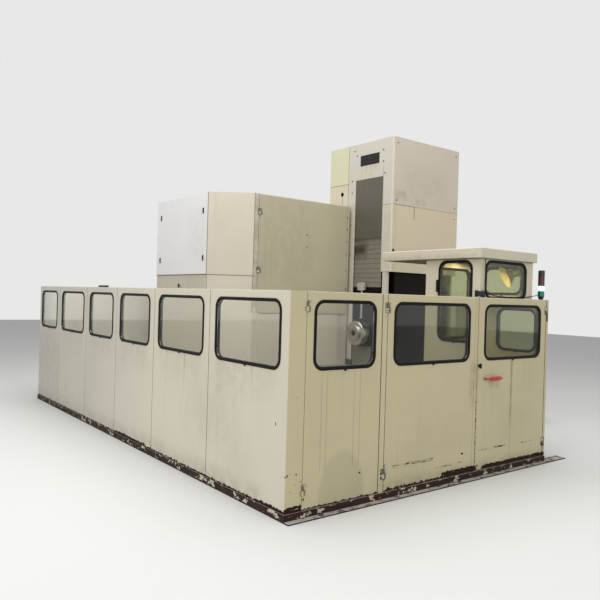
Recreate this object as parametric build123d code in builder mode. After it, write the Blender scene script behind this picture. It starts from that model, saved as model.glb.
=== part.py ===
from build123d import *
import math
import os

os.makedirs("parts", exist_ok=True)

# Guard wall: outer faces at X = 0 and Y = 0, corner on the floor at the origin
guard_height = 1800
skin = 40
sill_height = 65
sill_width = 60
sill_lip = 6
floor_flange = 65
flange_thickness = 10
front_sill_overrun = 340
panel_gap = 3
fold_radius = 5
left_panel_widths = [1235, 1193, 1055, 1039, 1166, 997]
corner_return = 165
far_wall_length = 4000
far_wall_panels = 3

# Doors of the front wall, from the corner: door 1, a post, doors 2 and 3, and the end post
door_bottom = 75
door_1_width = 830
door_2_width = 1269
door_3_width = 1203
mid_post_width = 61
hinge_gap = 5
double_door_gap = 4
door_1_span = (corner_return + hinge_gap, corner_return + hinge_gap + door_1_width)
mid_post_start = door_1_span[1] + panel_gap
mid_post_span = (mid_post_start, mid_post_start + mid_post_width)
door_2_start = mid_post_span[1] + hinge_gap
door_2_span = (door_2_start, door_2_start + door_2_width)
door_3_start = door_2_span[1] + double_door_gap
door_3_span = (door_3_start, door_3_start + door_3_width)
end_post_start = door_3_span[1] + hinge_gap
end_post_span = (end_post_start, end_post_start + skin)
post_depth = 60
cover_strip_width = 43
cover_strip_proud = 4
hinge_stand_off = 9
hinge_barrel_radius = 8
hinge_pin_radius = 4
hinge_length = 76
hinge_leaf_width = 30
hinge_leaf_thickness = 3
hinge_heights = [190, guard_height - 160]

# Windows: a rounded rim of rubber, lapped over the panel, holding a pane
window_drop = 65
window_height = 572
window_top = guard_height - window_drop
window_bottom = window_top - window_height
window_margin = 104
rim_radius = 100
seal_face = 29
seal_lap = 14
seal_proud = 6
glass = 6
glass_depth = 5
fit_gap = 0.3
face_tolerance = 0.01
door_1_window = (door_1_span[0] + 71, door_1_span[1] - 69)
door_2_window = (door_2_span[0] + 77, door_2_span[1] - 120)
door_3_window = (door_3_span[0] + 100, door_3_span[1] - 100)

# Return wall beside the booth
return_wall_end = 1250
return_window = (120, 645, guard_height - 605, guard_height - 105)

# Red handle, quarter-turn latch and door switch
handle_inset = 116
handle_length = 245
handle_height = 985
handle_reach = 52
handle_radius = 9
handle_bend = 22
latch_x = door_3_span[0] + 30
latch_height = 1117
latch_radius = 17
latch_depth = 14
latch_wing = (12, 50, 16)
switch_span = (door_3_span[0] + 3, door_3_span[0] + 133)
switch_depth = 34
switch_height = (guard_height + 4, guard_height + 70)

# Operator's booth, behind door 3 and a little above the guard
booth_rise = 400
booth_height = guard_height + booth_rise
booth_x = (door_3_span[0] + 88, end_post_span[0] - 195)
booth_y = (60, 775)
beam_height = 100
booth_sill = booth_height - 875
booth_side_window = (booth_y[0] + 93, booth_y[1] - 173, booth_sill, booth_height - 14)
booth_front_window = (booth_x[0] + 75, booth_x[1] - 116, guard_height - 15, booth_height - 12)
booth_back_window = (booth_x[0] + 130, booth_x[1] - 190, booth_sill, booth_height - 70)
booth_far_window = (booth_y[0] + 100, booth_y[1] - 85, guard_height + 40, booth_height - 40)
roof_x = (booth_x[0] - 50, booth_x[1] + 17)
roof_y = (booth_y[0] - 40, booth_y[1] + 625)
roof_thickness = 103
roof_edge = 6
console_y = (booth_y[0] + 100, booth_y[0] + 540)
console_height = (980, 1290)
console_depth = (70, 190)
button_radius = 20
button_stem_radius = 9
button_throw = 6
button_seat_gap = 1
button_rise = 14
button_edge = 3
button_stem_length = 30

# Dish lamp in the booth: mouth centre, and the way from the mouth to the back of the housing
lamp_mouth = (booth_x[1] - 212, booth_y[0] + 210, booth_height - 167)
lamp_back = (0.709, -0.549, 0.443)
lamp_mouth_radius = 128
lamp_cone_depth = 86
lamp_housing_radius = 47
lamp_housing_end = 180
lamp_wall = 3
lamp_rim = 5
lamp_pivot = (booth_x[1] - 103, booth_y[0] + 68, booth_height - 170)
lamp_lug = (8, 28)
lamp_arm_radius = 8
lamp_flange_radius = 14

# Signal tower
tower_center = (end_post_span[0] + skin / 2, 85)
tower_radius = 35
tower_foot_radius = 22
tower_cap_edge = 8
tower_levels = [guard_height + rise for rise in (0, 38, 97, 153, 330)]
cable_radius = 4

# Bed and saddle, running along Y
bed_x = (4350, 5550)
bed_y = (1350, 6600)
bed_top = 480
bed_foot = 60
bed_foot_height = 60
way_centers = (4480, 5420)
way_width = 160
way_height = 40
rail_height = 25
rail_inset = 30
rail_edge = 4
trough_width = 460
trough_depth = 160
anchor_hole_radius = 14
anchor_pitch = 1650
saddle_x = (4070, 5620)
saddle_y = (2830, 4520)
saddle_height = 215
saddle_notch_depth = 110
saddle_corner = 60
slide_gap = 0.3

# Way covers of the bed
cover_pan_x = (4310, 5590)
cover_pan_top = 640
cover_pan_bottom = 500
pan_sheet = 5
pan_step = pan_sheet + slide_gap
near_pans = [(2310, 2830), (1830, 2380), (1350, 1900)]
far_pans = [(4520, 5560), (4885, 6215), (5540, 6600)]

# Column: casting, sheet cover and the slot for the headstock
column_x = (4240, 5500)
column_y = (3000, 4350)
column_top = 4080
pocket_back = 5280
pocket_floor = 800
crosshead_bottom = 3950
cavity_x = (4400, 5340)
cavity_y = (3880, 4230)
cover_x = (4070, 5617)
cover_y = (2930, 4420)
cover_bottom = 2180
cover_top = 4250
cover_sheet = 6
cover_corner = 30
slot_center = 3449
slot_width = 622
slot_top = 3665
front_plate_bottom = 2711
front_plate_sheet = 5
leg_size = (40, 100)
leg_inset = 70
leg_overlap = 160
side_joint_height = 3215
side_slot = (4565, 194, 12)
front_joint_height = 3630
front_seam_y = 3940
joint_width = 5
joint_depth = 2
peep_hole = (4090, 3476, 36)
plug = (4107, 2505, 20)
screw_radius = 9
screw_height = 3
screw_places = [(3751, 4057), (3751, 3870), (3152, 4084), (3152, 3895), (3152, 3707), (3852, 3671)]
plate_span = (3235, 3661)
plate_height = (3884, 4051)
plate_thickness = 4

# Headstock, ram and spindle
head_x = (4120, 5180)
head_z = (1000, 1950)
head_plate = 25
ram_height = 1212
ram_radius = 190
ram_x = (3850, 5210)
ram_edge = 6
boss_radius = 212
boss_reach = 105
boss_pad = (180, 18)
spindle_radius = 90
spindle_length = 820
nose_radius = 120
nose_length = 28
taper_mouth_radius = 44
taper_depth = 120
taper_end_radius = 27
drive_key = (26, 40, 12)

# Slatted curtain above the ram
slat_pitch = 75.3
slat_count = 11
slat_front = 4083
slat_back = 4095
slat_tuck = 5
curtain_bottom = 1940
curtain_side_gap = 3

# Telescopic apron below the ram
apron_length = 600
apron_sheet = 5
apron_pitch = 10
apron_front = 4090
apron_lip = 20
apron_fixed_bottom = 100
apron_rest_bottom = 250
apron_bracket = 90

# Work lamp on the headstock boss
work_lamp_y = 3514
work_lamp_foot = (60, 50, 6)
work_lamp_bar = (8, 30)
work_lamp_x = 4040
work_lamp_height = 1947
work_lamp_box = (45, 146, 120)
work_lamp_corner = 12
work_lamp_tilt = 12

# Rotary table on its own bed, along X
table_center = (2540, 2430)
table_size = (1400, 1250)
table_top = 790
table_plate = 190
table_corner = 40
t_slot_count = 7
t_slot_pitch = 160
t_slot_width = 22
t_slot_depth = 38
t_slot_foot = (36, 16)
table_bore_radius = 50
table_saddle_size = (1280, 1060)
table_bed_x = (380, 3480)
table_bed_width = 900
table_bed_height = 360
table_way_width = 150
table_way_height = 50
table_pivot_radius = 300
table_pivot_depth = 30
table_saddle_corner = 30

# Tool magazine cabinet
cabinet_x = (1660, 4030)
cabinet_y = (3850, 5985)
cabinet_chamfer = (520, 440)
cabinet_top = 3250
cabinet_joint = 2042
cabinet_foot = 60
cabinet_wall = 25
cabinet_inset = 8
side_opening = (4400, 5885, 2150, 3150)
door_opening = (2350, 3900, 1600, 3150)
lower_opening = (2350, 3770, 330, 1400)
side_sheet = 4
side_panel_span = (4302, 5985, 2046, 3250)
fastener_places = [(4432, 2987), (5841, 2981), (4409, 2286), (5852, 2285)]
fastener_size = (34, 78, 5)
cabinet_door_thickness = 20
cabinet_door_span = (2275, 3985, 1500, 3240)
lower_panel_span = (2275, 3836, 250, 1480)
lower_lock_places = [(3780, 1386), (3780, 656)]
lower_lock_radius = 16
cabinet_hinge_x = 2268
cabinet_hinge_heights = [2092, 2950]
disc_center = (4920, 2300)
disc_x = (3500, 3550)
disc_radius = 770
pot_count = 18
pot_circle_radius = 706
pot_length = 130
pot_radius = 46
disc_window_count = 6
disc_window_circle = 370
disc_window_radius = 105
disc_shaft_radius = 60
disc_shaft_x = (3300, 3640)
stand_x = (3280, 3440)
stand_width = 360
stand_foot = (520, 700, 40)


def side_plane(x):
    """Plane across X: its own axes are world Y and Z, its normal is +X."""
    return Plane(origin=(x, 0, 0), x_dir=(0, 1, 0), z_dir=(1, 0, 0))


def front_plane(y):
    """Plane across Y: its own axes are world X and Z, its normal is -Y."""
    return Plane(origin=(0, y, 0), x_dir=(1, 0, 0), z_dir=(0, -1, 0))


def span_rectangle(u_span, v_span, mode=Mode.ADD):
    """Rectangle between two spans of a sketch."""
    with Locations(((u_span[0] + u_span[1]) / 2, (v_span[0] + v_span[1]) / 2)):
        Rectangle(u_span[1] - u_span[0], v_span[1] - v_span[0], mode=mode)


def block(x_span, y_span, z_span, mode=Mode.ADD):
    """Block between three spans of a part."""
    middle = [(span[0] + span[1]) / 2 for span in (x_span, y_span, z_span)]
    with Locations(tuple(middle)):
        Box(x_span[1] - x_span[0], y_span[1] - y_span[0], z_span[1] - z_span[0], mode=mode)


def window_outline(window, inset, mode=Mode.ADD):
    """Rounded outline of a window, set in from the outer edge of its rubber rim."""
    u0, u1, v0, v1 = window
    with Locations(((u0 + u1) / 2, (v0 + v1) / 2)):
        RectangleRounded(u1 - u0 - 2 * inset, v1 - v0 - 2 * inset, rim_radius - inset, mode=mode)


def cut_window(plane, inward, window):
    """Opening in a panel for a window."""
    with BuildSketch(plane, mode=Mode.PRIVATE) as opening:
        window_outline(window, seal_lap)
    extrude(opening.sketch, amount=inward * skin, mode=Mode.SUBTRACT)


def fold_edges(part, plane, axis):
    """Round the edges of a folded panel that run along an axis on its face."""
    on_face = part.edges().filter_by(axis).filter_by_position(
        Axis(plane.origin, plane.z_dir), -face_tolerance, face_tolerance
    )
    fillet(on_face, fold_radius)


def seal_ring(plane, inward, window):
    """Rubber seal: a lip over the panel's face and a body inside the opening."""
    with BuildPart() as ring:
        with BuildSketch(plane):
            window_outline(window, 0)
            window_outline(window, seal_face, mode=Mode.SUBTRACT)
        extrude(amount=-inward * seal_proud)
        with BuildSketch(plane):
            window_outline(window, seal_lap + fit_gap)
            window_outline(window, seal_face, mode=Mode.SUBTRACT)
        extrude(amount=inward * skin)
    return ring.part


def window_pane(plane, inward, window):
    """Pane in the seal's body, just behind the face."""
    with BuildPart() as pane:
        with BuildSketch(plane.offset(inward * glass_depth)):
            window_outline(window, seal_face + fit_gap)
        extrude(amount=inward * glass)
    return pane.part


def save(part, name):
    """Label a finished piece and write its file."""
    part.label = name
    export_step(part, f"parts/{name}.step")


def hinge_half(axis_x, face_y, bottom, side, on_frame):
    """Leaf and barrel of a lift-off hinge; the frame's half is below and holds the pin."""
    half = hinge_length / 2
    axis_y = face_y - hinge_stand_off
    start = bottom if on_frame else bottom + half + slide_gap
    leaf_x = sorted((axis_x + side * panel_gap, axis_x + side * hinge_leaf_width))
    block(leaf_x, (face_y - hinge_leaf_thickness, face_y), (start, start + half - slide_gap))
    neck_x = sorted((axis_x, axis_x + side * (panel_gap + 1)))
    block(neck_x, (face_y - hinge_leaf_thickness - 1, face_y - 1), (start, start + half - slide_gap))
    with Locations((axis_x, axis_y, start + (half - slide_gap) / 2)):
        Cylinder(hinge_barrel_radius, half - slide_gap)
    if on_frame:
        with Locations((axis_x, axis_y, bottom + half)):
            Cylinder(hinge_pin_radius, hinge_length - 2)
    else:
        with Locations((axis_x, axis_y, start + half / 2)):
            Cylinder(hinge_pin_radius + slide_gap, hinge_length, mode=Mode.SUBTRACT)


# Floor sill: a beam under each wall, with a flat flange on the floor in front
wall_length = sum(left_panel_widths)
sill_x = (-sill_lip, sill_width)
with BuildPart() as floor_sill:
    with BuildSketch(side_plane(-sill_lip)):
        span_rectangle((-sill_lip, sill_width), (0, sill_height))
    extrude(amount=end_post_span[1] + 2 * sill_lip)
    with BuildSketch(side_plane(-sill_lip)):
        span_rectangle((-floor_flange, sill_width), (0, flange_thickness))
    extrude(amount=end_post_span[1] + front_sill_overrun + sill_lip)
    block(sill_x, (sill_width + panel_gap, wall_length - sill_width - panel_gap), (0, sill_height))
    block((-sill_lip, far_wall_length), (wall_length - sill_width, wall_length + sill_lip), (0, sill_height))
    block(
        (end_post_span[1] - sill_width, end_post_span[1] + sill_lip),
        (sill_width + panel_gap, return_wall_end),
        (0, sill_height),
    )
save(floor_sill.part, "floor_sill")

# Left wall: one panel per window, the first one folded round the corner
left_face = side_plane(0)
front_face = front_plane(0)
left_windows = []
panel_start = 0
hinge_x_1 = (corner_return + door_1_span[0]) / 2
for number, width in enumerate(left_panel_widths, start=1):
    y_from = panel_start + (panel_gap / 2 if number > 1 else 0)
    y_to = panel_start + width - panel_gap / 2
    window = (panel_start + window_margin, panel_start + width - window_margin, window_bottom, window_top)
    with BuildPart() as left_panel:
        with BuildSketch(Plane.XY.offset(sill_height)):
            span_rectangle((0, skin), (y_from, y_to))
            if number == 1:
                span_rectangle((0, corner_return), (0, skin))
        extrude(amount=guard_height - sill_height)
        fold_edges(left_panel, left_face, Axis.Z)
        cut_window(left_face, 1, window)
        if number == 1:
            for height in hinge_heights:
                hinge_half(hinge_x_1, 0, height, -1, True)
    save(left_panel.part, f"left_panel_{number}")
    left_windows.append((left_face, 1, window))
    panel_start += width

# Far wall: plain panels
with BuildPart() as far_wall:
    far_width = (far_wall_length - skin - panel_gap) / far_wall_panels
    for index in range(far_wall_panels):
        far_start = skin + panel_gap + index * far_width
        block(
            (far_start, far_start + far_width - panel_gap),
            (wall_length - panel_gap / 2 - skin, wall_length - panel_gap / 2),
            (sill_height, guard_height),
        )
save(far_wall.part, "far_wall")

# Return wall beside the booth
return_face = side_plane(end_post_span[0])
with BuildPart() as return_wall:
    block(
        end_post_span,
        (post_depth + panel_gap, return_wall_end),
        (sill_height, guard_height),
    )
    cut_window(return_face, 1, return_window)
save(return_wall.part, "return_wall")

# Posts of the front wall, with the fixed halves of the hinges of doors 2 and 3
hinge_x_2 = (mid_post_span[1] + door_2_span[0]) / 2
hinge_x_3 = (door_3_span[1] + end_post_span[0]) / 2
with BuildPart() as front_posts:
    block(mid_post_span, (0, post_depth), (sill_height, guard_height))
    block(end_post_span, (0, post_depth), (sill_height, guard_height))
    for height in hinge_heights:
        hinge_half(hinge_x_2, 0, height, -1, True)
        hinge_half(hinge_x_3, 0, height, 1, True)
save(front_posts.part, "front_posts")

# Doors, each with its seal and pane
door_data = [
    (1, door_1_span, door_1_window, hinge_x_1, 1),
    (2, door_2_span, door_2_window, hinge_x_2, 1),
    (3, door_3_span, door_3_window, hinge_x_3, -1),
]
for number, span, window_span, hinge_x, side in door_data:
    window = (*window_span, window_bottom, window_top)
    with BuildPart() as door:
        with BuildSketch(front_face):
            span_rectangle(span, (door_bottom, guard_height))
        extrude(amount=-skin)
        fold_edges(door, front_face, Axis.Z)
        cut_window(front_face, -1, window)
        if number == 2:
            strip_x = (span[1] - cover_strip_width, span[1])
            block(strip_x, (-cover_strip_proud, 0), (door_bottom, guard_height))
        for height in hinge_heights:
            hinge_half(hinge_x, 0, height, side, False)
    save(door.part, f"door_{number}")
    save(seal_ring(front_face, -1, window), f"door_{number}_seal")
    save(window_pane(front_face, -1, window), f"door_{number}_pane")

# Red handle: a bent bar on two feet
handle_x = door_3_span[0] + handle_inset
with BuildPart() as door_handle:
    with BuildLine() as handle_line:
        FilletPolyline(
            (handle_x, 0, handle_height),
            (handle_x, -handle_reach, handle_height),
            (handle_x + handle_length, -handle_reach, handle_height),
            (handle_x + handle_length, 0, handle_height),
            radius=handle_bend,
        )
    with BuildSketch(Plane(origin=handle_line.line @ 0, z_dir=handle_line.line % 0)):
        Circle(handle_radius)
    sweep()
save(door_handle.part, "door_handle")

# Quarter-turn latch
with BuildPart() as door_latch:
    with BuildSketch(front_face):
        with Locations((latch_x, latch_height)):
            Circle(latch_radius)
    extrude(amount=latch_depth)
    with BuildSketch(front_plane(-latch_depth)):
        with Locations((latch_x, latch_height)):
            SlotOverall(latch_wing[1], latch_wing[0], rotation=90)
    extrude(amount=latch_wing[2])
save(door_latch.part, "door_latch")

# Switch over the gap of the double door: a waisted body screwed to the booth's corner
with BuildPart() as door_switch:
    switch_middle = (switch_span[0] + switch_span[1]) / 2
    switch_waist = (switch_height[1] - switch_height[0]) / 4
    with BuildSketch(front_plane(booth_y[0])):
        with BuildLine():
            Polyline(
                (switch_span[0], switch_height[0]),
                (switch_middle, switch_height[0] + switch_waist),
                (switch_span[1], switch_height[0]),
                (switch_span[1], switch_height[1]),
                (switch_middle, switch_height[1] - switch_waist),
                (switch_span[0], switch_height[1]),
                close=True,
            )
        make_face()
    extrude(amount=switch_depth)
save(door_switch.part, "door_switch")

# Booth frame: two walls down to the floor, a windowed ring above the guard, the lamp's arm
side_wall_face = side_plane(booth_x[0])
back_wall_face = front_plane(booth_y[1] - skin)
far_side_face = side_plane(booth_x[1] - skin)
front_ring_face = front_plane(booth_y[0])
with BuildPart() as booth_frame:
    with BuildSketch(Plane.XY):
        span_rectangle(booth_x, booth_y)
        span_rectangle(
            (booth_x[0] + skin, booth_x[1]), (booth_y[0], booth_y[1] - skin), mode=Mode.SUBTRACT
        )
    extrude(amount=guard_height)
    with BuildSketch(Plane.XY.offset(guard_height)):
        span_rectangle(booth_x, booth_y)
        span_rectangle(
            (booth_x[0] + skin, booth_x[1] - skin),
            (booth_y[0] + skin, booth_y[1] - skin),
            mode=Mode.SUBTRACT,
        )
    extrude(amount=booth_height - guard_height)
    block(
        (booth_x[0] + skin, end_post_span[0]),
        (booth_y[0], booth_y[0] + skin),
        (guard_height - beam_height, guard_height),
    )
    cut_window(side_wall_face, 1, booth_side_window)
    cut_window(front_ring_face, -1, booth_front_window)
    cut_window(back_wall_face, -1, booth_back_window)
    cut_window(far_side_face, 1, booth_far_window)
    with BuildSketch(side_plane(lamp_pivot[0] + slide_gap)):
        with Locations((lamp_pivot[1], lamp_pivot[2])):
            Circle(lamp_arm_radius)
    extrude(amount=booth_x[1] - skin - lamp_pivot[0] - slide_gap)
    for flange_x, thickness in ((lamp_pivot[0] + slide_gap, lamp_lug[0]), (booth_x[1] - skin, -lamp_wall)):
        with BuildSketch(side_plane(flange_x)):
            with Locations((lamp_pivot[1], lamp_pivot[2])):
                Circle(lamp_flange_radius)
        extrude(amount=thickness)
save(booth_frame.part, "booth_frame")

# Booth roof: a slab with softened edges
with BuildPart() as booth_roof:
    with BuildSketch(Plane.XY.offset(booth_height)):
        span_rectangle(roof_x, roof_y)
    extrude(amount=roof_thickness)
    chamfer(booth_roof.edges().group_by(Axis.Z)[-1], roof_edge)
save(booth_roof.part, "booth_roof")

# Seals and panes that stay with the fixed walls
fixed_windows = left_windows + [
    (return_face, 1, return_window),
    (side_wall_face, 1, booth_side_window),
    (front_ring_face, -1, booth_front_window),
    (back_wall_face, -1, booth_back_window),
    (far_side_face, 1, booth_far_window),
]
with BuildPart() as wall_seals:
    for plane, inward, window in fixed_windows:
        add(seal_ring(plane, inward, window))
save(wall_seals.part, "wall_seals")
with BuildPart() as wall_panes:
    for plane, inward, window in fixed_windows:
        add(window_pane(plane, inward, window))
save(wall_panes.part, "wall_panes")

# Control console with a sloping top, on the booth's wall below the window
console_wall = booth_x[0] + skin
slope_low = (console_wall + console_depth[1], console_height[0] + console_depth[0])
slope_high = (console_wall + console_depth[0], console_height[1])
slope_run = slope_low[0] - slope_high[0]
slope_rise = slope_high[1] - slope_low[1]
slope_length = math.hypot(slope_run, slope_rise)
button_center = (
    (slope_low[0] + slope_high[0]) / 2,
    (console_y[0] + console_y[1]) / 2,
    (slope_low[1] + slope_high[1]) / 2,
)
button_plane = Plane(
    origin=button_center, x_dir=(0, 1, 0), z_dir=(slope_rise / slope_length, 0, slope_run / slope_length)
)
with BuildPart() as control_console:
    with BuildSketch(front_plane(console_y[1])):
        with BuildLine():
            Polyline(
                (console_wall, console_height[0]),
                (slope_low[0], console_height[0]),
                slope_low,
                slope_high,
                (console_wall, console_height[1]),
                close=True,
            )
        make_face()
    extrude(amount=console_y[1] - console_y[0])
    with BuildSketch(button_plane):
        Circle(button_stem_radius + slide_gap)
    extrude(amount=-(button_stem_length + button_throw), mode=Mode.SUBTRACT)
save(control_console.part, "control_console")

# Emergency-stop button: a mushroom head on a stem in the console
button_seat = button_plane.offset(button_throw + button_seat_gap)
with BuildPart() as stop_button:
    with BuildSketch(button_seat):
        Circle(button_radius)
    extrude(amount=button_rise)
    chamfer(stop_button.edges().sort_by(Axis(button_center, button_plane.z_dir))[-1], button_edge)
    with BuildSketch(button_seat):
        Circle(button_stem_radius)
    extrude(amount=-button_stem_length)
save(stop_button.part, "stop_button")

# Dish lamp: a spun shade and its housing, with a lug that turns on the arm
mouth_plane = Plane(origin=lamp_mouth, z_dir=lamp_back)
with BuildPart() as lamp_head:
    with BuildSketch(Plane(origin=lamp_mouth, x_dir=mouth_plane.x_dir, z_dir=-mouth_plane.y_dir)):
        with BuildLine():
            Polyline(
                (0, lamp_housing_end),
                (lamp_housing_radius - lamp_rim, lamp_housing_end),
                (lamp_housing_radius, lamp_housing_end - lamp_rim),
                (lamp_housing_radius, lamp_cone_depth),
                (lamp_mouth_radius - lamp_rim, lamp_rim),
                (lamp_mouth_radius, 0),
                (lamp_mouth_radius - lamp_rim, 0),
                (lamp_housing_radius - lamp_wall, lamp_cone_depth - lamp_wall),
                (0, lamp_cone_depth - lamp_wall),
                close=True,
            )
        make_face()
    revolve(axis=Axis(lamp_mouth, lamp_back))
    lug_share = (lamp_pivot[0] - lamp_lug[0] / 2 - lamp_mouth[0]) / lamp_back[0]
    lug_top = (lamp_mouth[1] + lug_share * lamp_back[1], lamp_mouth[2] + lug_share * lamp_back[2])
    lug_run = (lug_top[0] - lamp_pivot[1], lug_top[1] - lamp_pivot[2])
    with BuildSketch(side_plane(lamp_pivot[0] - lamp_lug[0])):
        with Locations(((lug_top[0] + lamp_pivot[1]) / 2, (lug_top[1] + lamp_pivot[2]) / 2)):
            SlotCenterToCenter(
                math.hypot(*lug_run), lamp_lug[1], rotation=math.degrees(math.atan2(lug_run[1], lug_run[0]))
            )
    extrude(amount=lamp_lug[0])
save(lamp_head.part, "lamp_head")

# Signal tower: a foot and base, one lit module and the dark modules over it
with BuildPart() as tower_modules:
    with BuildSketch(Plane.XY.offset(tower_levels[0])):
        with Locations(tower_center):
            Circle(tower_foot_radius)
    with BuildSketch(Plane.XY.offset(tower_levels[1])):
        with Locations(tower_center):
            Circle(tower_radius)
    loft()
    for low, high in ((tower_levels[1], tower_levels[2]), (tower_levels[3], tower_levels[4])):
        with BuildSketch(Plane.XY.offset(low)):
            with Locations(tower_center):
                Circle(tower_radius)
        extrude(amount=high - low)
    chamfer(tower_modules.edges().filter_by(GeomType.CIRCLE).group_by(Axis.Z)[-1], tower_cap_edge)
save(tower_modules.part, "tower_modules")
with BuildPart() as tower_lit_module:
    with BuildSketch(Plane.XY.offset(tower_levels[2])):
        with Locations(tower_center):
            Circle(tower_radius)
    extrude(amount=tower_levels[3] - tower_levels[2])
save(tower_lit_module.part, "tower_lit_module")

# Cable from the booth's corner to the tower, hanging just clear of the doors
cable_points = [
    (2497, 49, 2199),
    (2493, 47, 2100),
    (2488, 45, 1995),
    (2486, 44, 1905),
    (2508, 43, 1852),
    (2575, 42, 1830),
    (2690, 41, 1819),
    (2830, 41, 1814),
    (2980, 42, 1813),
    (3130, 44, 1816),
    (3270, 49, 1823),
    (3395, 58, 1836),
    (3480, 69, 1852),
    (tower_center[0] - tower_radius - cable_radius, tower_center[1] - 2 * cable_radius, 1868),
]


def corner_radii(points):
    """Largest radius at each corner that its two runs allow."""
    radii = []
    for before, corner, after in zip(points, points[1:], points[2:]):
        run_in = Vector(*corner) - Vector(*before)
        run_out = Vector(*after) - Vector(*corner)
        turn = math.radians(run_in.get_angle(run_out))
        shorter = min(run_in.length, run_out.length)
        radii.append(0.45 * shorter / math.tan(turn / 2))
    return radii


cable_radii = corner_radii(cable_points)
print("cable radii, mm:", [round(radius) for radius in cable_radii])
with BuildPart() as tower_cable:
    with BuildLine() as cable_line:
        FilletPolyline(*cable_points, radius=cable_radii)
    with BuildSketch(Plane(origin=cable_line.line @ 0, z_dir=cable_line.line % 0)):
        Circle(cable_radius)
    sweep()
cable_length = sum(edge.length for edge in cable_line.edges())
print("cable length, mm:", round(cable_length, 1))
print("cable volume ratio:", tower_cable.part.volume / (math.pi * cable_radius**2 * cable_length))
save(tower_cable.part, "tower_cable")

# Bed: a long casting with two raised ways, a trough between them and feet on both sides
trough_x = ((bed_x[0] + bed_x[1] - trough_width) / 2, (bed_x[0] + bed_x[1] + trough_width) / 2)
bed_length = bed_y[1] - bed_y[0]
anchor_x = (bed_x[0] - bed_foot / 2, bed_x[1] + bed_foot / 2)
bed_middle_y = (bed_y[0] + bed_y[1]) / 2
with BuildPart() as bed:
    with BuildSketch(front_plane(bed_y[0])):
        span_rectangle(bed_x, (0, bed_top))
        span_rectangle((bed_x[0] - bed_foot, bed_x[1] + bed_foot), (0, bed_foot_height))
        for center in way_centers:
            span_rectangle((center - way_width / 2, center + way_width / 2), (bed_top, bed_top + way_height))
        span_rectangle(trough_x, (bed_top - trough_depth, bed_top), mode=Mode.SUBTRACT)
    extrude(amount=-bed_length)
    with BuildSketch(Plane.XY):
        with Locations((anchor_x[0], bed_middle_y), (anchor_x[1], bed_middle_y)):
            with GridLocations(1, anchor_pitch, 1, 3):
                Circle(anchor_hole_radius)
    extrude(amount=bed_foot_height, mode=Mode.SUBTRACT)
save(bed.part, "bed")

# Hardened rails on the two ways
rail_bottom = bed_top + way_height
rail_top = rail_bottom + rail_height
with BuildPart() as bed_rails:
    for center in way_centers:
        with BuildSketch(front_plane(bed_y[0] + rail_inset)):
            with Locations((center, rail_bottom + rail_height / 2)):
                Rectangle(way_width, rail_height)
            chamfer(vertices().group_by(Axis.Y)[-1], rail_edge)
        extrude(amount=-(bed_length - 2 * rail_inset))
save(bed_rails.part, "bed_rails")

# Saddle: a plate with a notch for the apron and pads on the rails
slot_y = (slot_center - slot_width / 2, slot_center + slot_width / 2)
saddle_bottom = rail_top + slide_gap
saddle_top = saddle_bottom + saddle_height
with BuildPart() as saddle:
    with BuildSketch(Plane.XY.offset(saddle_bottom)):
        span_rectangle(saddle_x, saddle_y)
        span_rectangle(
            (saddle_x[0], saddle_x[0] + saddle_notch_depth),
            (slot_y[0] - 2 * apron_pitch, slot_y[1] + 2 * apron_pitch),
            mode=Mode.SUBTRACT,
        )
    extrude(amount=saddle_height)
    chamfer(saddle.edges().filter_by(Axis.Z).sort_by(Axis.X)[-2:], saddle_corner)
save(saddle.part, "saddle")


def cover_pan(step, y_span, end_y=None):
    """Folded way cover over the bed; each step fits inside the one before."""
    side = step * pan_step
    x_span = (cover_pan_x[0] + side, cover_pan_x[1] - side)
    inner_x = (x_span[0] + pan_sheet, x_span[1] - pan_sheet)
    top = cover_pan_top - side
    with BuildPart() as pan:
        block(x_span, y_span, (cover_pan_bottom, top))
        block(inner_x, y_span, (cover_pan_bottom, top - pan_sheet), Mode.SUBTRACT)
        if end_y:
            block(bed_x, end_y, (bed_top, top))
            for center in way_centers:
                way_x = (center - way_width / 2, center + way_width / 2)
                block(way_x, end_y, (bed_top, bed_top + way_height), Mode.SUBTRACT)
    return pan.part


# Way covers, three on each side: the outer rides with the saddle, the inner stays on the bed
fixed_end_walls = [(bed_y[0], bed_y[0] + pan_sheet), (bed_y[1] - pan_sheet, bed_y[1])]
with BuildPart() as saddle_way_covers:
    add(cover_pan(0, near_pans[0]))
    add(cover_pan(0, far_pans[0]))
save(saddle_way_covers.part, "saddle_way_covers")
with BuildPart() as sliding_way_covers:
    add(cover_pan(1, near_pans[1]))
    add(cover_pan(1, far_pans[1]))
save(sliding_way_covers.part, "sliding_way_covers")
with BuildPart() as fixed_way_covers:
    add(cover_pan(2, near_pans[2], fixed_end_walls[0]))
    add(cover_pan(2, far_pans[2], fixed_end_walls[1]))
save(fixed_way_covers.part, "fixed_way_covers")

# Column casting: an upright with a pocket for the headstock and a weight shaft beside it
with BuildPart() as column:
    with BuildSketch(Plane.XY.offset(saddle_top)):
        span_rectangle(column_x, column_y)
    extrude(amount=column_top - saddle_top)
    with BuildSketch(Plane.XY.offset(pocket_floor)):
        span_rectangle((column_x[0], pocket_back), slot_y)
    extrude(amount=crosshead_bottom - pocket_floor, mode=Mode.SUBTRACT)
    with BuildSketch(Plane.XY.offset(pocket_floor)):
        span_rectangle(cavity_x, cavity_y)
    extrude(amount=column_top - pocket_floor, mode=Mode.SUBTRACT)
save(column.part, "column")

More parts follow.
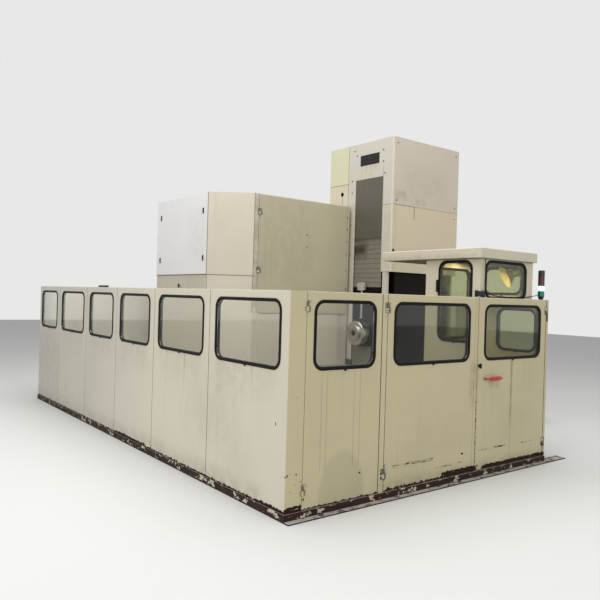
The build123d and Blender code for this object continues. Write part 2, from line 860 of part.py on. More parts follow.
# Column cover: a sheet box open below, with the slot in its front and legs on the saddle
slot_opening = (slot_y[0] - fit_gap, slot_y[1] + fit_gap)
leg_front_x = (cover_x[0] + cover_sheet, cover_x[0] + cover_sheet + leg_size[0])
leg_rear_x = (cover_x[1] - cover_sheet - leg_size[0], cover_x[1] - cover_sheet)
leg_near_y = (cover_y[0] + leg_inset, cover_y[0] + leg_inset + leg_size[1])
leg_far_y = (cover_y[1] - cover_sheet - leg_size[0], cover_y[1] - cover_sheet)
leg_z = (saddle_top, cover_bottom + leg_overlap)
with BuildPart() as column_cover:
    with BuildSketch(Plane.XY.offset(cover_bottom)):
        span_rectangle(cover_x, cover_y)
        fillet(vertices().group_by(Axis.X)[0], cover_corner)
    extrude(amount=cover_top - cover_bottom)
    with BuildSketch(Plane.XY.offset(cover_bottom)):
        span_rectangle(
            (cover_x[0] + cover_sheet, cover_x[1] - cover_sheet),
            (cover_y[0] + cover_sheet, cover_y[1] - cover_sheet),
        )
        fillet(vertices().group_by(Axis.X)[0], cover_corner - cover_sheet)
    extrude(amount=cover_top - cover_sheet - cover_bottom, mode=Mode.SUBTRACT)
    with BuildSketch(side_plane(cover_x[0])):
        span_rectangle((slot_opening[1], cover_y[1]), (saddle_top, cover_bottom))
    extrude(amount=cover_sheet)
    with BuildSketch(side_plane(cover_x[0])):
        span_rectangle(slot_opening, (cover_bottom, slot_top + fit_gap))
        with Locations((peep_hole[0], peep_hole[1])):
            Circle(peep_hole[2])
    extrude(amount=cover_sheet, mode=Mode.SUBTRACT)
    block(leg_front_x, leg_near_y, leg_z)
    block(leg_rear_x, leg_near_y, leg_z)
    block(leg_front_x, leg_far_y, leg_z)
    block(leg_rear_x, leg_far_y, leg_z)
    block((leg_rear_x[0], leg_rear_x[1] + cover_sheet), leg_near_y, (cover_bottom, leg_z[1]))
    with BuildSketch(front_plane(cover_y[0])):
        span_rectangle(
            (cover_x[0] + cover_corner, cover_x[1]), (side_joint_height, side_joint_height + joint_width)
        )
        span_rectangle(
            (side_slot[0], side_slot[0] + side_slot[2]), (side_joint_height - side_slot[1], side_joint_height)
        )
        with Locations((plug[0], plug[1])):
            Circle(plug[2])
            Circle(plug[2] - joint_width, mode=Mode.SUBTRACT)
    extrude(amount=-joint_depth, mode=Mode.SUBTRACT)
    with BuildSketch(side_plane(cover_x[0])):
        span_rectangle((front_seam_y, front_seam_y + joint_width), (saddle_top, front_joint_height))
        span_rectangle((front_seam_y, cover_y[1]), (front_joint_height, front_joint_height + joint_width))
        span_rectangle(
            (cover_y[0] + cover_corner, slot_opening[0]), (side_joint_height, side_joint_height + joint_width)
        )
    extrude(amount=joint_depth, mode=Mode.SUBTRACT)
    with BuildSketch(side_plane(cover_x[0])):
        with Locations(*screw_places):
            Circle(screw_radius)
    extrude(amount=-screw_height)
save(column_cover.part, "column_cover")

# Bare name plate
with BuildPart() as name_plate:
    with BuildSketch(side_plane(cover_x[0])):
        span_rectangle(plate_span, plate_height)
    extrude(amount=-plate_thickness)
save(name_plate.part, "name_plate")

# Smooth steel plate that closes the upper part of the slot
with BuildPart() as front_plate:
    with BuildSketch(side_plane(cover_x[0] + joint_depth)):
        span_rectangle(slot_y, (front_plate_bottom, slot_top))
    extrude(amount=front_plate_sheet)
save(front_plate.part, "front_plate")

# Headstock: body in the column's pocket, front plate and the boss round the ram
head_y = (slot_y[0] + slide_gap, slot_y[1] - slide_gap)
head_front = head_x[0] - head_plate
boss_top = ram_height + boss_radius + boss_pad[1]
with BuildPart() as headstock:
    block(head_x, head_y, head_z)
    block((head_front, head_x[0]), head_y, head_z)
    with BuildSketch(side_plane(head_front)):
        with Locations((slot_center, ram_height)):
            Circle(boss_radius)
        span_rectangle((slot_center - boss_pad[0] / 2, slot_center + boss_pad[0] / 2), (ram_height, boss_top))
    extrude(amount=-boss_reach)
    with BuildSketch(side_plane(head_front - boss_reach)):
        with Locations((slot_center, ram_height)):
            Circle(ram_radius + slide_gap)
    extrude(amount=boss_reach + head_x[1] - head_front, mode=Mode.SUBTRACT)
save(headstock.part, "headstock")

# Ram: a ground cylinder, bored for the spindle
with BuildPart() as ram:
    with BuildSketch(side_plane(ram_x[0])):
        with Locations((slot_center, ram_height)):
            Circle(ram_radius)
    extrude(amount=ram_x[1] - ram_x[0])
    chamfer(ram.edges().filter_by(GeomType.CIRCLE).group_by(Axis.X)[0], ram_edge)
    with BuildSketch(side_plane(ram_x[0])):
        with Locations((slot_center, ram_height)):
            Circle(spindle_radius + slide_gap)
    extrude(amount=spindle_length + panel_gap, mode=Mode.SUBTRACT)
save(ram.part, "ram")

# Spindle: shaft and nose with a taper and two drive keys
nose_front = ram_x[0] - slide_gap - nose_length
spindle_axis = Axis((0, slot_center, ram_height), (1, 0, 0))
with BuildPart() as spindle:
    with BuildSketch(Plane(origin=(0, slot_center, ram_height), x_dir=(1, 0, 0), z_dir=(0, -1, 0))):
        with BuildLine():
            Polyline(
                (nose_front + taper_depth, 0),
                (nose_front + taper_depth, taper_end_radius),
                (nose_front, taper_mouth_radius),
                (nose_front, nose_radius - ram_edge),
                (nose_front + ram_edge, nose_radius),
                (nose_front + nose_length, nose_radius),
                (nose_front + nose_length, spindle_radius),
                (ram_x[0] + spindle_length, spindle_radius),
                (ram_x[0] + spindle_length, 0),
                close=True,
            )
        make_face()
    revolve(axis=spindle_axis)
    key_offset = (taper_mouth_radius + nose_radius) / 2
    for key_y in (slot_center - key_offset, slot_center + key_offset):
        block(
            (nose_front - drive_key[2], nose_front),
            (key_y - drive_key[1] / 2, key_y + drive_key[1] / 2),
            (ram_height - drive_key[0] / 2, ram_height + drive_key[0] / 2),
        )
save(spindle.part, "spindle")

# Slatted curtain: overlapping slats that rise with the headstock behind the front plate
curtain_y = (slot_y[0] + curtain_side_gap, slot_y[1] - curtain_side_gap)
with BuildPart() as slat_curtain:
    with BuildSketch(front_plane(curtain_y[0])):
        with BuildLine():
            teeth = [(slat_back, curtain_bottom)]
            for index in range(slat_count):
                slat_low = curtain_bottom + index * slat_pitch
                teeth.append((slat_front, slat_low))
                teeth.append((slat_front + slat_tuck, slat_low + slat_pitch))
            teeth.append((slat_back, curtain_bottom + slat_count * slat_pitch))
            Polyline(*teeth, close=True)
        make_face()
    extrude(amount=curtain_y[0] - curtain_y[1])
save(slat_curtain.part, "slat_curtain")


def apron_section(layer, bottom, top_flange):
    """One folded sheet of the apron; its lips run against the sheet behind."""
    front = apron_front + layer * apron_pitch
    lip_end = front + apron_pitch - slide_gap
    with BuildPart() as section:
        with BuildSketch(Plane.XY.offset(bottom)):
            span_rectangle((front, front + apron_sheet), curtain_y)
            for lip_y in (
                (curtain_y[0], curtain_y[0] + apron_lip),
                (curtain_y[1] - apron_lip, curtain_y[1]),
            ):
                span_rectangle((front, lip_end), lip_y)
        extrude(amount=apron_length)
        if top_flange:
            flange_z = (bottom + apron_length - apron_sheet, bottom + apron_length)
            block((front, head_x[0] + head_plate), curtain_y, flange_z)
    return section.part


# Telescopic apron: top section under the headstock, two sliding ones, one fixed to the saddle
save(apron_section(0, head_z[0] - apron_length, True), "apron_top")
save(apron_section(1, apron_rest_bottom, False), "apron_upper")
save(apron_section(2, apron_rest_bottom, False), "apron_lower")
fixed_front = apron_front + 3 * apron_pitch
apron_fixed_top = apron_fixed_bottom + apron_length
with BuildPart() as apron_fixed:
    block((fixed_front, fixed_front + apron_sheet), curtain_y, (apron_fixed_bottom, apron_fixed_top))
    block(
        (fixed_front, saddle_x[0] + saddle_notch_depth),
        curtain_y,
        (apron_fixed_top - apron_bracket, apron_fixed_top),
    )
save(apron_fixed.part, "apron_fixed")

# Work lamp: foot on the boss, flat bar and a tilted lamp box
with BuildPart() as work_lamp:
    block(
        (work_lamp_x - work_lamp_foot[1] / 2, work_lamp_x + work_lamp_foot[1] / 2),
        (work_lamp_y - work_lamp_foot[0] / 2, slot_center + boss_pad[0] / 2),
        (boss_top, boss_top + work_lamp_foot[2]),
    )
    block(
        (work_lamp_x - work_lamp_bar[0] / 2, work_lamp_x + work_lamp_bar[0] / 2),
        (work_lamp_y - work_lamp_bar[1] / 2, work_lamp_y + work_lamp_bar[1] / 2),
        (boss_top, work_lamp_height),
    )
    lamp_plane = Plane(
        origin=(work_lamp_x - work_lamp_box[0] / 3, work_lamp_y, work_lamp_height),
        x_dir=(0, 1, 0),
        z_dir=(-math.cos(math.radians(work_lamp_tilt)), 0, -math.sin(math.radians(work_lamp_tilt))),
    )
    with BuildSketch(lamp_plane.offset(-work_lamp_box[0] / 2)):
        RectangleRounded(work_lamp_box[1], work_lamp_box[2], work_lamp_corner)
    extrude(amount=work_lamp_box[0])
save(work_lamp.part, "work_lamp")

# Bed of the rotary table
table_bed_y = (table_center[1] - table_bed_width / 2, table_center[1] + table_bed_width / 2)
table_way_top = table_bed_height + table_way_height
with BuildPart() as table_bed:
    with BuildSketch(side_plane(table_bed_x[0])):
        span_rectangle(table_bed_y, (0, table_bed_height))
        span_rectangle((table_bed_y[0], table_bed_y[0] + table_way_width), (table_bed_height, table_way_top))
        span_rectangle((table_bed_y[1] - table_way_width, table_bed_y[1]), (table_bed_height, table_way_top))
        span_rectangle(
            (table_bed_y[0] - bed_foot, table_bed_y[1] + bed_foot), (0, bed_foot_height)
        )
    extrude(amount=table_bed_x[1] - table_bed_x[0])
save(table_bed.part, "table_bed")

# Table saddle with the round seat of the table
saddle_seat = table_top - table_plate - slide_gap
with BuildPart() as table_saddle:
    with BuildSketch(Plane.XY.offset(table_way_top + slide_gap)):
        with Locations(table_center):
            Rectangle(*table_saddle_size)
            Rectangle(table_saddle_size[0], table_bed_width - 2 * table_way_width, mode=Mode.SUBTRACT)
    extrude(amount=saddle_seat - table_way_top - slide_gap)
    with BuildSketch(Plane.XY.offset(saddle_seat)):
        with Locations(table_center):
            Rectangle(*table_saddle_size)
    extrude(amount=-(saddle_seat - table_way_top) / 2)
    chamfer(table_saddle.edges().filter_by(Axis.Z).group_by(Axis.X)[0], table_saddle_corner)
    chamfer(table_saddle.edges().filter_by(Axis.Z).group_by(Axis.X)[-1], table_saddle_corner)
    with BuildSketch(Plane.XY.offset(saddle_seat)):
        with Locations(table_center):
            Circle(table_pivot_radius + slide_gap)
    extrude(amount=-table_pivot_depth, mode=Mode.SUBTRACT)
save(table_saddle.part, "table_saddle")

# Rotary table with T-slots and a centring bore
table_bottom = table_top - table_plate
with BuildPart() as rotary_table:
    with BuildSketch(Plane.XY.offset(table_bottom)):
        with Locations(table_center):
            Rectangle(*table_size)
        chamfer(vertices(), table_corner)
    extrude(amount=table_plate)
    with BuildSketch(Plane.XY.offset(table_bottom)):
        with Locations(table_center):
            Circle(table_pivot_radius)
    extrude(amount=-(table_pivot_depth - panel_gap))
    with BuildSketch(side_plane(table_center[0] - table_size[0] / 2)):
        with Locations((table_center[1], table_top)):
            with GridLocations(t_slot_pitch, 1, t_slot_count, 1):
                Rectangle(t_slot_width, 2 * t_slot_depth)
        with Locations((table_center[1], table_top - t_slot_depth + t_slot_foot[1] / 2)):
            with GridLocations(t_slot_pitch, 1, t_slot_count, 1):
                Rectangle(*t_slot_foot)
    extrude(amount=table_size[0], mode=Mode.SUBTRACT)
    with BuildSketch(Plane.XY.offset(table_top)):
        with Locations(table_center):
            Circle(table_bore_radius)
    extrude(amount=-table_plate / 2, mode=Mode.SUBTRACT)
save(rotary_table.part, "rotary_table")


def cabinet_outline(inset, mode=Mode.ADD):
    """Plan of the cabinet with its cut corner, set in on the two sides away from the column."""
    x0, x1 = cabinet_x[0] + inset, cabinet_x[1]
    y0, y1 = cabinet_y[0], cabinet_y[1]
    corner = (x0 + cabinet_chamfer[0], y0 + cabinet_chamfer[1])
    Polygon((corner[0], y0), (x1, y0), (x1, y1), (x0, y1), (x0, corner[1]), align=None, mode=mode)


# Magazine cabinet: upper box with a roof, lower box set in a little, three openings
with BuildPart() as magazine_cabinet:
    with BuildSketch(Plane.XY.offset(cabinet_foot)):
        cabinet_outline(cabinet_inset)
    extrude(amount=cabinet_joint - cabinet_foot)
    with BuildSketch(Plane.XY.offset(cabinet_joint)):
        cabinet_outline(0)
    extrude(amount=cabinet_top - cabinet_joint)
    with BuildSketch(Plane.XY.offset(cabinet_foot + cabinet_wall)):
        cabinet_outline(cabinet_inset)
        offset(amount=-cabinet_wall, mode=Mode.REPLACE)
    extrude(amount=cabinet_top - cabinet_foot - 2 * cabinet_wall, mode=Mode.SUBTRACT)
    with BuildSketch(side_plane(cabinet_x[0])):
        span_rectangle(side_opening[0:2], side_opening[2:4])
    extrude(amount=2 * cabinet_wall, mode=Mode.SUBTRACT)
    with BuildSketch(front_plane(cabinet_y[0])):
        span_rectangle(door_opening[0:2], door_opening[2:4])
        span_rectangle(lower_opening[0:2], lower_opening[2:4])
    extrude(amount=-2 * cabinet_wall, mode=Mode.SUBTRACT)
    block(
        (cabinet_x[0] + cabinet_chamfer[0], cabinet_x[1] - cabinet_foot),
        (cabinet_y[0] + cabinet_foot, cabinet_y[1] - cabinet_foot),
        (0, cabinet_foot),
    )
    for height in cabinet_hinge_heights:
        hinge_half(cabinet_hinge_x, cabinet_y[0] - cabinet_door_thickness, height, -1, True)
        block(
            (cabinet_hinge_x - hinge_leaf_width, cabinet_hinge_x - panel_gap),
            (cabinet_y[0] - cabinet_door_thickness, cabinet_y[0]),
            (height, height + hinge_length / 2 - slide_gap),
        )
save(magazine_cabinet.part, "magazine_cabinet")

# Side panel of the cabinet with its quarter-turn fasteners
with BuildPart() as magazine_side_panel:
    with BuildSketch(side_plane(cabinet_x[0])):
        span_rectangle(side_panel_span[0:2], side_panel_span[2:4])
    extrude(amount=-side_sheet)
    with BuildSketch(side_plane(cabinet_x[0] - side_sheet)):
        with Locations(*fastener_places):
            Rectangle(fastener_size[0], fastener_size[1])
    extrude(amount=-fastener_size[2])
save(magazine_side_panel.part, "magazine_side_panel")

# Upper door of the cabinet
door_face = front_plane(cabinet_y[0] - cabinet_door_thickness)
with BuildPart() as magazine_door:
    with BuildSketch(door_face):
        span_rectangle(cabinet_door_span[0:2], cabinet_door_span[2:4])
    extrude(amount=-(cabinet_door_thickness - slide_gap))
    for height in cabinet_hinge_heights:
        hinge_half(cabinet_hinge_x, cabinet_y[0] - cabinet_door_thickness, height, 1, False)
save(magazine_door.part, "magazine_door")

# Lower panel of the cabinet, held by two quarter-turn locks
with BuildPart() as magazine_lower_panel:
    with BuildSketch(door_face):
        span_rectangle(lower_panel_span[0:2], lower_panel_span[2:4])
    extrude(amount=-cabinet_door_thickness)
    with BuildSketch(door_face):
        with Locations(*lower_lock_places):
            Circle(lower_lock_radius)
    extrude(amount=fastener_size[2])
save(magazine_lower_panel.part, "magazine_lower_panel")

# Tool disc: a ring of tool pots on a holed disc, and its shaft
with BuildPart() as tool_disc:
    with BuildSketch(side_plane(disc_x[0])):
        with Locations(disc_center):
            Circle(disc_radius)
            with PolarLocations(disc_window_circle, disc_window_count):
                Circle(disc_window_radius, mode=Mode.SUBTRACT)
    extrude(amount=disc_x[1] - disc_x[0])
    with BuildSketch(side_plane(disc_x[0])):
        with Locations(disc_center):
            with PolarLocations(pot_circle_radius, pot_count):
                Circle(pot_radius)
    extrude(amount=pot_length)
    with BuildSketch(side_plane(disc_shaft_x[0])):
        with Locations(disc_center):
            Circle(disc_shaft_radius)
    extrude(amount=disc_shaft_x[1] - disc_shaft_x[0])
save(tool_disc.part, "tool_disc")

# Stand of the tool disc, with the bore for its shaft
with BuildPart() as disc_stand:
    floor_top = cabinet_foot + cabinet_wall
    with BuildSketch(side_plane(stand_x[0])):
        with BuildLine():
            Polyline(
                (disc_center[0] - stand_width / 2, floor_top),
                (disc_center[0] + stand_width / 2, floor_top),
                (disc_center[0] + 2 * disc_shaft_radius, disc_center[1]),
                (disc_center[0] - 2 * disc_shaft_radius, disc_center[1]),
                close=True,
            )
        make_face()
        with Locations(disc_center):
            Circle(2 * disc_shaft_radius)
    extrude(amount=stand_x[1] - stand_x[0])
    with BuildSketch(Plane.XY.offset(floor_top)):
        with Locations(((stand_x[0] + stand_x[1]) / 2, disc_center[0])):
            Rectangle(stand_foot[0], stand_foot[1])
    extrude(amount=stand_foot[2])
    with BuildSketch(side_plane(stand_x[0])):
        with Locations(disc_center):
            Circle(disc_shaft_radius + slide_gap)
    extrude(amount=stand_x[1] - stand_x[0], mode=Mode.SUBTRACT)
save(disc_stand.part, "disc_stand")
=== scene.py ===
# %% [markdown]
# # A floor-type boring mill, dressed in Blender
# The machine comes in as a fixed frame of separate pieces, all in metres. These cells add its
# finishes and the small things that only the eye needs: rubber rims, screws, drips and chips.

import math

import bmesh
import bpy
from mathutils import Matrix, Vector


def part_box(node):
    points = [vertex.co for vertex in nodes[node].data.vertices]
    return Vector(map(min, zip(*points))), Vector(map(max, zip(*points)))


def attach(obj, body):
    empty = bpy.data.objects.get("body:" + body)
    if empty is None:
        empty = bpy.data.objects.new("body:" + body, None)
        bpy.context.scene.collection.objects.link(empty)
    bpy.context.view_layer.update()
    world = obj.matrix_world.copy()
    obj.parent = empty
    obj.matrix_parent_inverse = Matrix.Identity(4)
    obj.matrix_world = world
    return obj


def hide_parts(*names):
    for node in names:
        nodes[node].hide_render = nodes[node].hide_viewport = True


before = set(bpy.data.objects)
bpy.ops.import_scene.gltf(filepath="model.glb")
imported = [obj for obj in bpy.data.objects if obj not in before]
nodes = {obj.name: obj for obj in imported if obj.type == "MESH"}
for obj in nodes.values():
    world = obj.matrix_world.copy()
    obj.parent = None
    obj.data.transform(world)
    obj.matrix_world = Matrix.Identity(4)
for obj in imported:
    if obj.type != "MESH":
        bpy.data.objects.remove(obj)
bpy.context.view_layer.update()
print("frame:", len(nodes), "nodes")

# %% [markdown]
# ## Camera
# The picture was taken from head height, in front of the guard's near corner, with a lens a little
# longer than wide angle. Its place and turn were fitted to the straight edges of the guard. The
# lens keeps the picture's slight roll, because the guard's top edges show it.

# %% Set up the camera
CAMERA_PLACE = Vector((-2.9269, -3.9173, 1.75))
CAMERA_YAW = math.radians(37.626)
CAMERA_PITCH = math.radians(-0.271)
CAMERA_ROLL = math.radians(1.719)
CAMERA_LENS = 38.13
SENSOR = 36
FARTHEST = 100


def camera_axes():
    """Right, up and backward directions of the camera."""
    level_right = Vector((math.cos(CAMERA_YAW), -math.sin(CAMERA_YAW), 0))
    forward = Vector(
        (
            math.sin(CAMERA_YAW) * math.cos(CAMERA_PITCH),
            math.cos(CAMERA_YAW) * math.cos(CAMERA_PITCH),
            math.sin(CAMERA_PITCH),
        )
    )
    level_up = level_right.cross(forward)
    right = level_right * math.cos(CAMERA_ROLL) + level_up * math.sin(CAMERA_ROLL)
    up = level_up * math.cos(CAMERA_ROLL) - level_right * math.sin(CAMERA_ROLL)
    return right, up, -forward


camera_data = bpy.data.cameras.new("camera")
camera_data.lens = CAMERA_LENS
camera_data.sensor_width = SENSOR
camera_data.clip_end = FARTHEST
camera = bpy.data.objects.new("camera", camera_data)
bpy.context.scene.collection.objects.link(camera)
turn = Matrix(camera_axes()).transposed().to_4x4()
camera.matrix_world = Matrix.Translation(CAMERA_PLACE) @ turn
bpy.context.scene.camera = camera
print("camera at", [round(v, 2) for v in camera.location])

# %% [markdown]
# ## Shader tools
# A finish is a small tree of nodes. These helpers keep such a tree short to write: one makes a
# material, one sets or links the inputs of a node, one adds a node, a few stand for common nodes,
# and one makes a node group that several materials share.


# %% Node helpers
def new_material(name):
    """Material with a Principled shader; returns the material and its shader."""
    material = bpy.data.materials.new(name)
    material.use_nodes = True
    return material, material.node_tree.nodes["Principled BSDF"]


def feed(tree, node, inputs):
    """Set inputs of a node, or link those given a socket; i and a number stand for a name."""
    for key, value in inputs.items():
        by_number = key[0] == "i" and key[1:].isdigit()
        socket = node.inputs[int(key[1:]) if by_number else key]
        if isinstance(value, bpy.types.NodeSocket):
            tree.links.new(value, socket)
        else:
            socket.default_value = value


def put(tree, kind, settings=None, **inputs):
    """Add a node with its own settings and its inputs."""
    node = tree.nodes.new(kind)
    for key, value in (settings or {}).items():
        setattr(node, key, value)
    feed(tree, node, inputs)
    return node


def math_node(tree, operation, a, b=0.0, clamp=False):
    """Output of one math operation on two numbers or sockets."""
    node = put(tree, "ShaderNodeMath", {"operation": operation, "use_clamp": clamp}, i0=a, i1=b)
    return node.outputs[0]


def times(tree, a, b):
    """Product of two numbers or sockets."""
    return math_node(tree, "MULTIPLY", a, b)


def mix_color(tree, factor, a, b):
    """Colour between a and b."""
    node = put(tree, "ShaderNodeMix", {"data_type": "RGBA"}, i0=factor, i6=a, i7=b)
    return node.outputs[2]


def ramp(tree, value, low, high):
    """Number that rises from 0 to 1 while the value goes from low to high."""
    settings = {"clamp": True, "interpolation_type": "SMOOTHSTEP"}
    return put(tree, "ShaderNodeMapRange", settings, i0=value, i1=low, i2=high).outputs[0]


def noise(tree, vector, scale, detail, rough):
    """Noise value from 0 to 1 at a scale per metre."""
    inputs = {"Vector": vector, "Scale": scale, "Detail": detail, "Roughness": rough}
    return put(tree, "ShaderNodeTexNoise", None, **inputs).outputs[0]


def stretched(tree, vector, factors):
    """Coordinates scaled along each axis, for streaks and dashes."""
    node = put(tree, "ShaderNodeVectorMath", {"operation": "MULTIPLY"}, i0=vector, i1=factors)
    return node.outputs[0]


def new_group(name, inputs, outputs):
    """Node group with named sockets; returns the group, its given sockets and its output node."""
    tree = bpy.data.node_groups.new(name, "ShaderNodeTree")
    for label, kind, default in inputs:
        socket = tree.interface.new_socket(name=label, in_out="INPUT", socket_type=kind)
        if default is not None:
            socket.default_value = default
    for label, kind in outputs:
        tree.interface.new_socket(name=label, in_out="OUTPUT", socket_type=kind)
    given = tree.nodes.new("NodeGroupInput").outputs
    return tree, given, tree.nodes.new("NodeGroupOutput")


FLOAT = "NodeSocketFloat"
COLOR = "NodeSocketColor"
VECTOR = "NodeSocketVector"


def use_group(tree, group, **inputs):
    """Place a shared group in a material."""
    return put(tree, "ShaderNodeGroup", {"node_tree": group}, **inputs)


def relief(tree, height, strength, distance):
    """Normal of a surface with a bump."""
    inputs = {"Strength": strength, "Distance": distance, "Height": height}
    return put(tree, "ShaderNodeBump", None, **inputs).outputs[0]


# %% [markdown]
# ## Shared effects
# Old enamel is never one colour. It yellows in clouds, carries thin vertical drips of oil, and its
# gloss is broken by a fine orange-peel skin. The group below makes all of that from the place on
# the object, so that it runs on over the joints between panels as the real dirt does.

# %% Clouds, drips and skin of old enamel
CLOUD_SCALE = 1.1
CLOUD_LEVELS = (0.42, 0.78)
DRIP_STRETCH = (15.0, 15.0, 0.45)
DRIP_LEVELS = (0.52, 0.85)
DRIP_PATCH_SCALE = 0.7
DRIP_PATCH_LEVELS = (0.40, 0.70)
SKIN_SCALE = 150.0
DIRT_DULLING = 0.35
enamel, enamel_in, enamel_out = new_group(
    "old enamel",
    [
        ("Vector", VECTOR, None),
        ("Paint", COLOR, (0.5, 0.5, 0.4, 1)),
        ("Stain", COLOR, (0.2, 0.18, 0.12, 1)),
        ("Clouds", FLOAT, 0.2),
        ("Drips", FLOAT, 0.3),
        ("Gloss", FLOAT, 0.35),
    ],
    [("Color", COLOR), ("Roughness", FLOAT), ("Height", FLOAT)],
)
place = enamel_in["Vector"]
cloud = noise(enamel, place, CLOUD_SCALE, detail=5.0, rough=0.62)
cloud_mask = times(enamel, ramp(enamel, cloud, *CLOUD_LEVELS), enamel_in["Clouds"])
drip = noise(enamel, stretched(enamel, place, DRIP_STRETCH), 1.0, detail=3.0, rough=0.6)
patch = noise(enamel, place, DRIP_PATCH_SCALE, detail=2.0, rough=0.5)
drips = times(enamel, ramp(enamel, drip, *DRIP_LEVELS), ramp(enamel, patch, *DRIP_PATCH_LEVELS))
drip_mask = times(enamel, drips, enamel_in["Drips"])
dirt = math_node(enamel, "ADD", cloud_mask, drip_mask, clamp=True)
enamel_color = mix_color(enamel, dirt, enamel_in["Paint"], enamel_in["Stain"])
skin = noise(enamel, place, SKIN_SCALE, detail=2.0, rough=0.5)
dulled = math_node(enamel, "ADD", enamel_in["Gloss"], times(enamel, dirt, DIRT_DULLING))
feed(enamel, enamel_out, {"Color": enamel_color, "Roughness": dulled, "Height": skin})
print("group:", enamel.name)

# %% [markdown]
# Chips show where paint has come off down to a dark red-brown primer. They are ragged islands of
# one noise, cut off at a level that a mask from outside raises or lowers. So the damage is thick
# along the foot of a wall, thin at its edges, and nowhere else.

# %% Torn chips of paint
PAINT_HOLD = 0.75
CHIP_EDGE = (0.22, 0.24)
chips, chips_in, chips_out = new_group(
    "paint chips",
    [("Vector", VECTOR, None), ("Where", FLOAT, 0.0), ("Scale", FLOAT, 14.0)],
    [("Mask", FLOAT)],
)
coarse = noise(chips, chips_in["Vector"], chips_in["Scale"], detail=5.0, rough=0.68)
sound = math_node(chips, "SUBTRACT", 1.0, chips_in["Where"])
torn = math_node(chips, "SUBTRACT", coarse, times(chips, sound, PAINT_HOLD))
feed(chips, chips_out, {"Mask": ramp(chips, torn, *CHIP_EDGE)})
print("group:", chips.name)

# %% [markdown]
# A soft band is 1 around a middle value and fades to 0 at its sides. Two of them, one along a wall
# and one up it, make a soft patch at a chosen place: a stain under a window, a line of dirt in a
# joint, or a streak below a screw.

# %% Soft band
band, band_in, band_out = new_group(
    "soft band",
    [("Value", FLOAT, 0.0), ("Middle", FLOAT, 0.0), ("Half", FLOAT, 0.1), ("Fade", FLOAT, 0.05)],
    [("Mask", FLOAT)],
)
away = math_node(band, "SUBTRACT", band_in["Value"], band_in["Middle"])
over = math_node(band, "SUBTRACT", math_node(band, "ABSOLUTE", away), band_in["Half"])
share = math_node(band, "DIVIDE", over, band_in["Fade"])
feed(band, band_out, {"Mask": math_node(band, "SUBTRACT", 1.0, share, clamp=True)})
print("group:", band.name)

# %% [markdown]
# Every mark on a wall has one of two shapes, a soft rectangle or an ellipse. Both are given by two
# places along an axis and two heights, so a mark can be read off a drawing of the wall.


# %% Shapes of marks
def span(tree, value, start, end, soft):
    """Mask of the values between two ends, with soft sides."""
    middle, half = (start + end) / 2, (end - start) / 2
    return use_group(tree, band, Value=value, Middle=middle, Half=half, Fade=soft).outputs["Mask"]


def area(tree, axes, axis, low, high, bottom, top, fade, strength):
    """Mask of a soft rectangle; fade may be a pair, along the axis and up."""
    across, up = fade if isinstance(fade, tuple) else (fade, fade)
    masks = span(tree, axes[axis], low, high, across), span(tree, axes["z"], bottom, top, up)
    return times(tree, times(tree, *masks), strength)


def round_area(tree, axes, axis, low, high, bottom, top, soft, strength):
    """Mask of an ellipse that fills the rectangle, with a rim as soft as a share of its size."""
    reach = []
    for name, start, end in ((axis, low, high), ("z", bottom, top)):
        off = math_node(tree, "SUBTRACT", axes[name], (start + end) / 2)
        share = math_node(tree, "ABSOLUTE", times(tree, off, 2 / (end - start)))
        reach.append(math_node(tree, "POWER", share, 2.0))
    inside = math_node(tree, "SUBTRACT", 1.0, math_node(tree, "ADD", *reach))
    return times(tree, ramp(tree, inside, 0.0, soft), strength)


def joined(tree, masks):
    """The largest of several masks."""
    total = masks[0]
    for mask in masks[1:]:
        total = math_node(tree, "MAXIMUM", total, mask)
    return total


# %% [markdown]
# ## Old paint
# All painted sheet of the machine shares one recipe with its own colour and its own list of marks.
# The marks were placed one by one as on the real walls: painted shade in the joints, stains and
# streaks, dashes where something scraped along, and places where the paint chips.

# %% Colours and scales of the marks
PRIMER = (0.020, 0.009, 0.007, 1)
GRIME = (0.16, 0.13, 0.075, 1)
# SEAM colours line and round marks that have no tint of their own; in joints, gaps, folds and round
# hinges it is painted shade.
SEAM = (0.045, 0.036, 0.024, 1)
SHADE = (0.17, 0.15, 0.10, 1)
RUST = (0.23, 0.125, 0.030, 1)
# A pale colour for painted highlights along top edges, and for the bright worn leaves of hinges.
HIGHLIGHT_AND_BRIGHT_WEAR = (0.72, 0.68, 0.56, 1)
BLOT_SCALE, BLOT_LEVELS = 9.0, (0.25, 0.62)
DASH_STRETCH, DASH_LEVELS = (6.0, 6.0, 90.0), (0.515, 0.55)
SPECK_SCALE, SPECK_LEVELS = 34.0, (0.77, 0.79)
CHIP_SCALE = 24.0
FACE_FADE = 0.004


def object_place(tree):
    """Object coordinates."""
    return put(tree, "ShaderNodeTexCoord").outputs["Object"]


def object_axes(tree):
    """Object coordinates, whole and split into x, y and z."""
    where = object_place(tree)
    split = put(tree, "ShaderNodeSeparateXYZ", None, Vector=where)
    return where, {"x": split.outputs[0], "y": split.outputs[1], "z": split.outputs[2]}


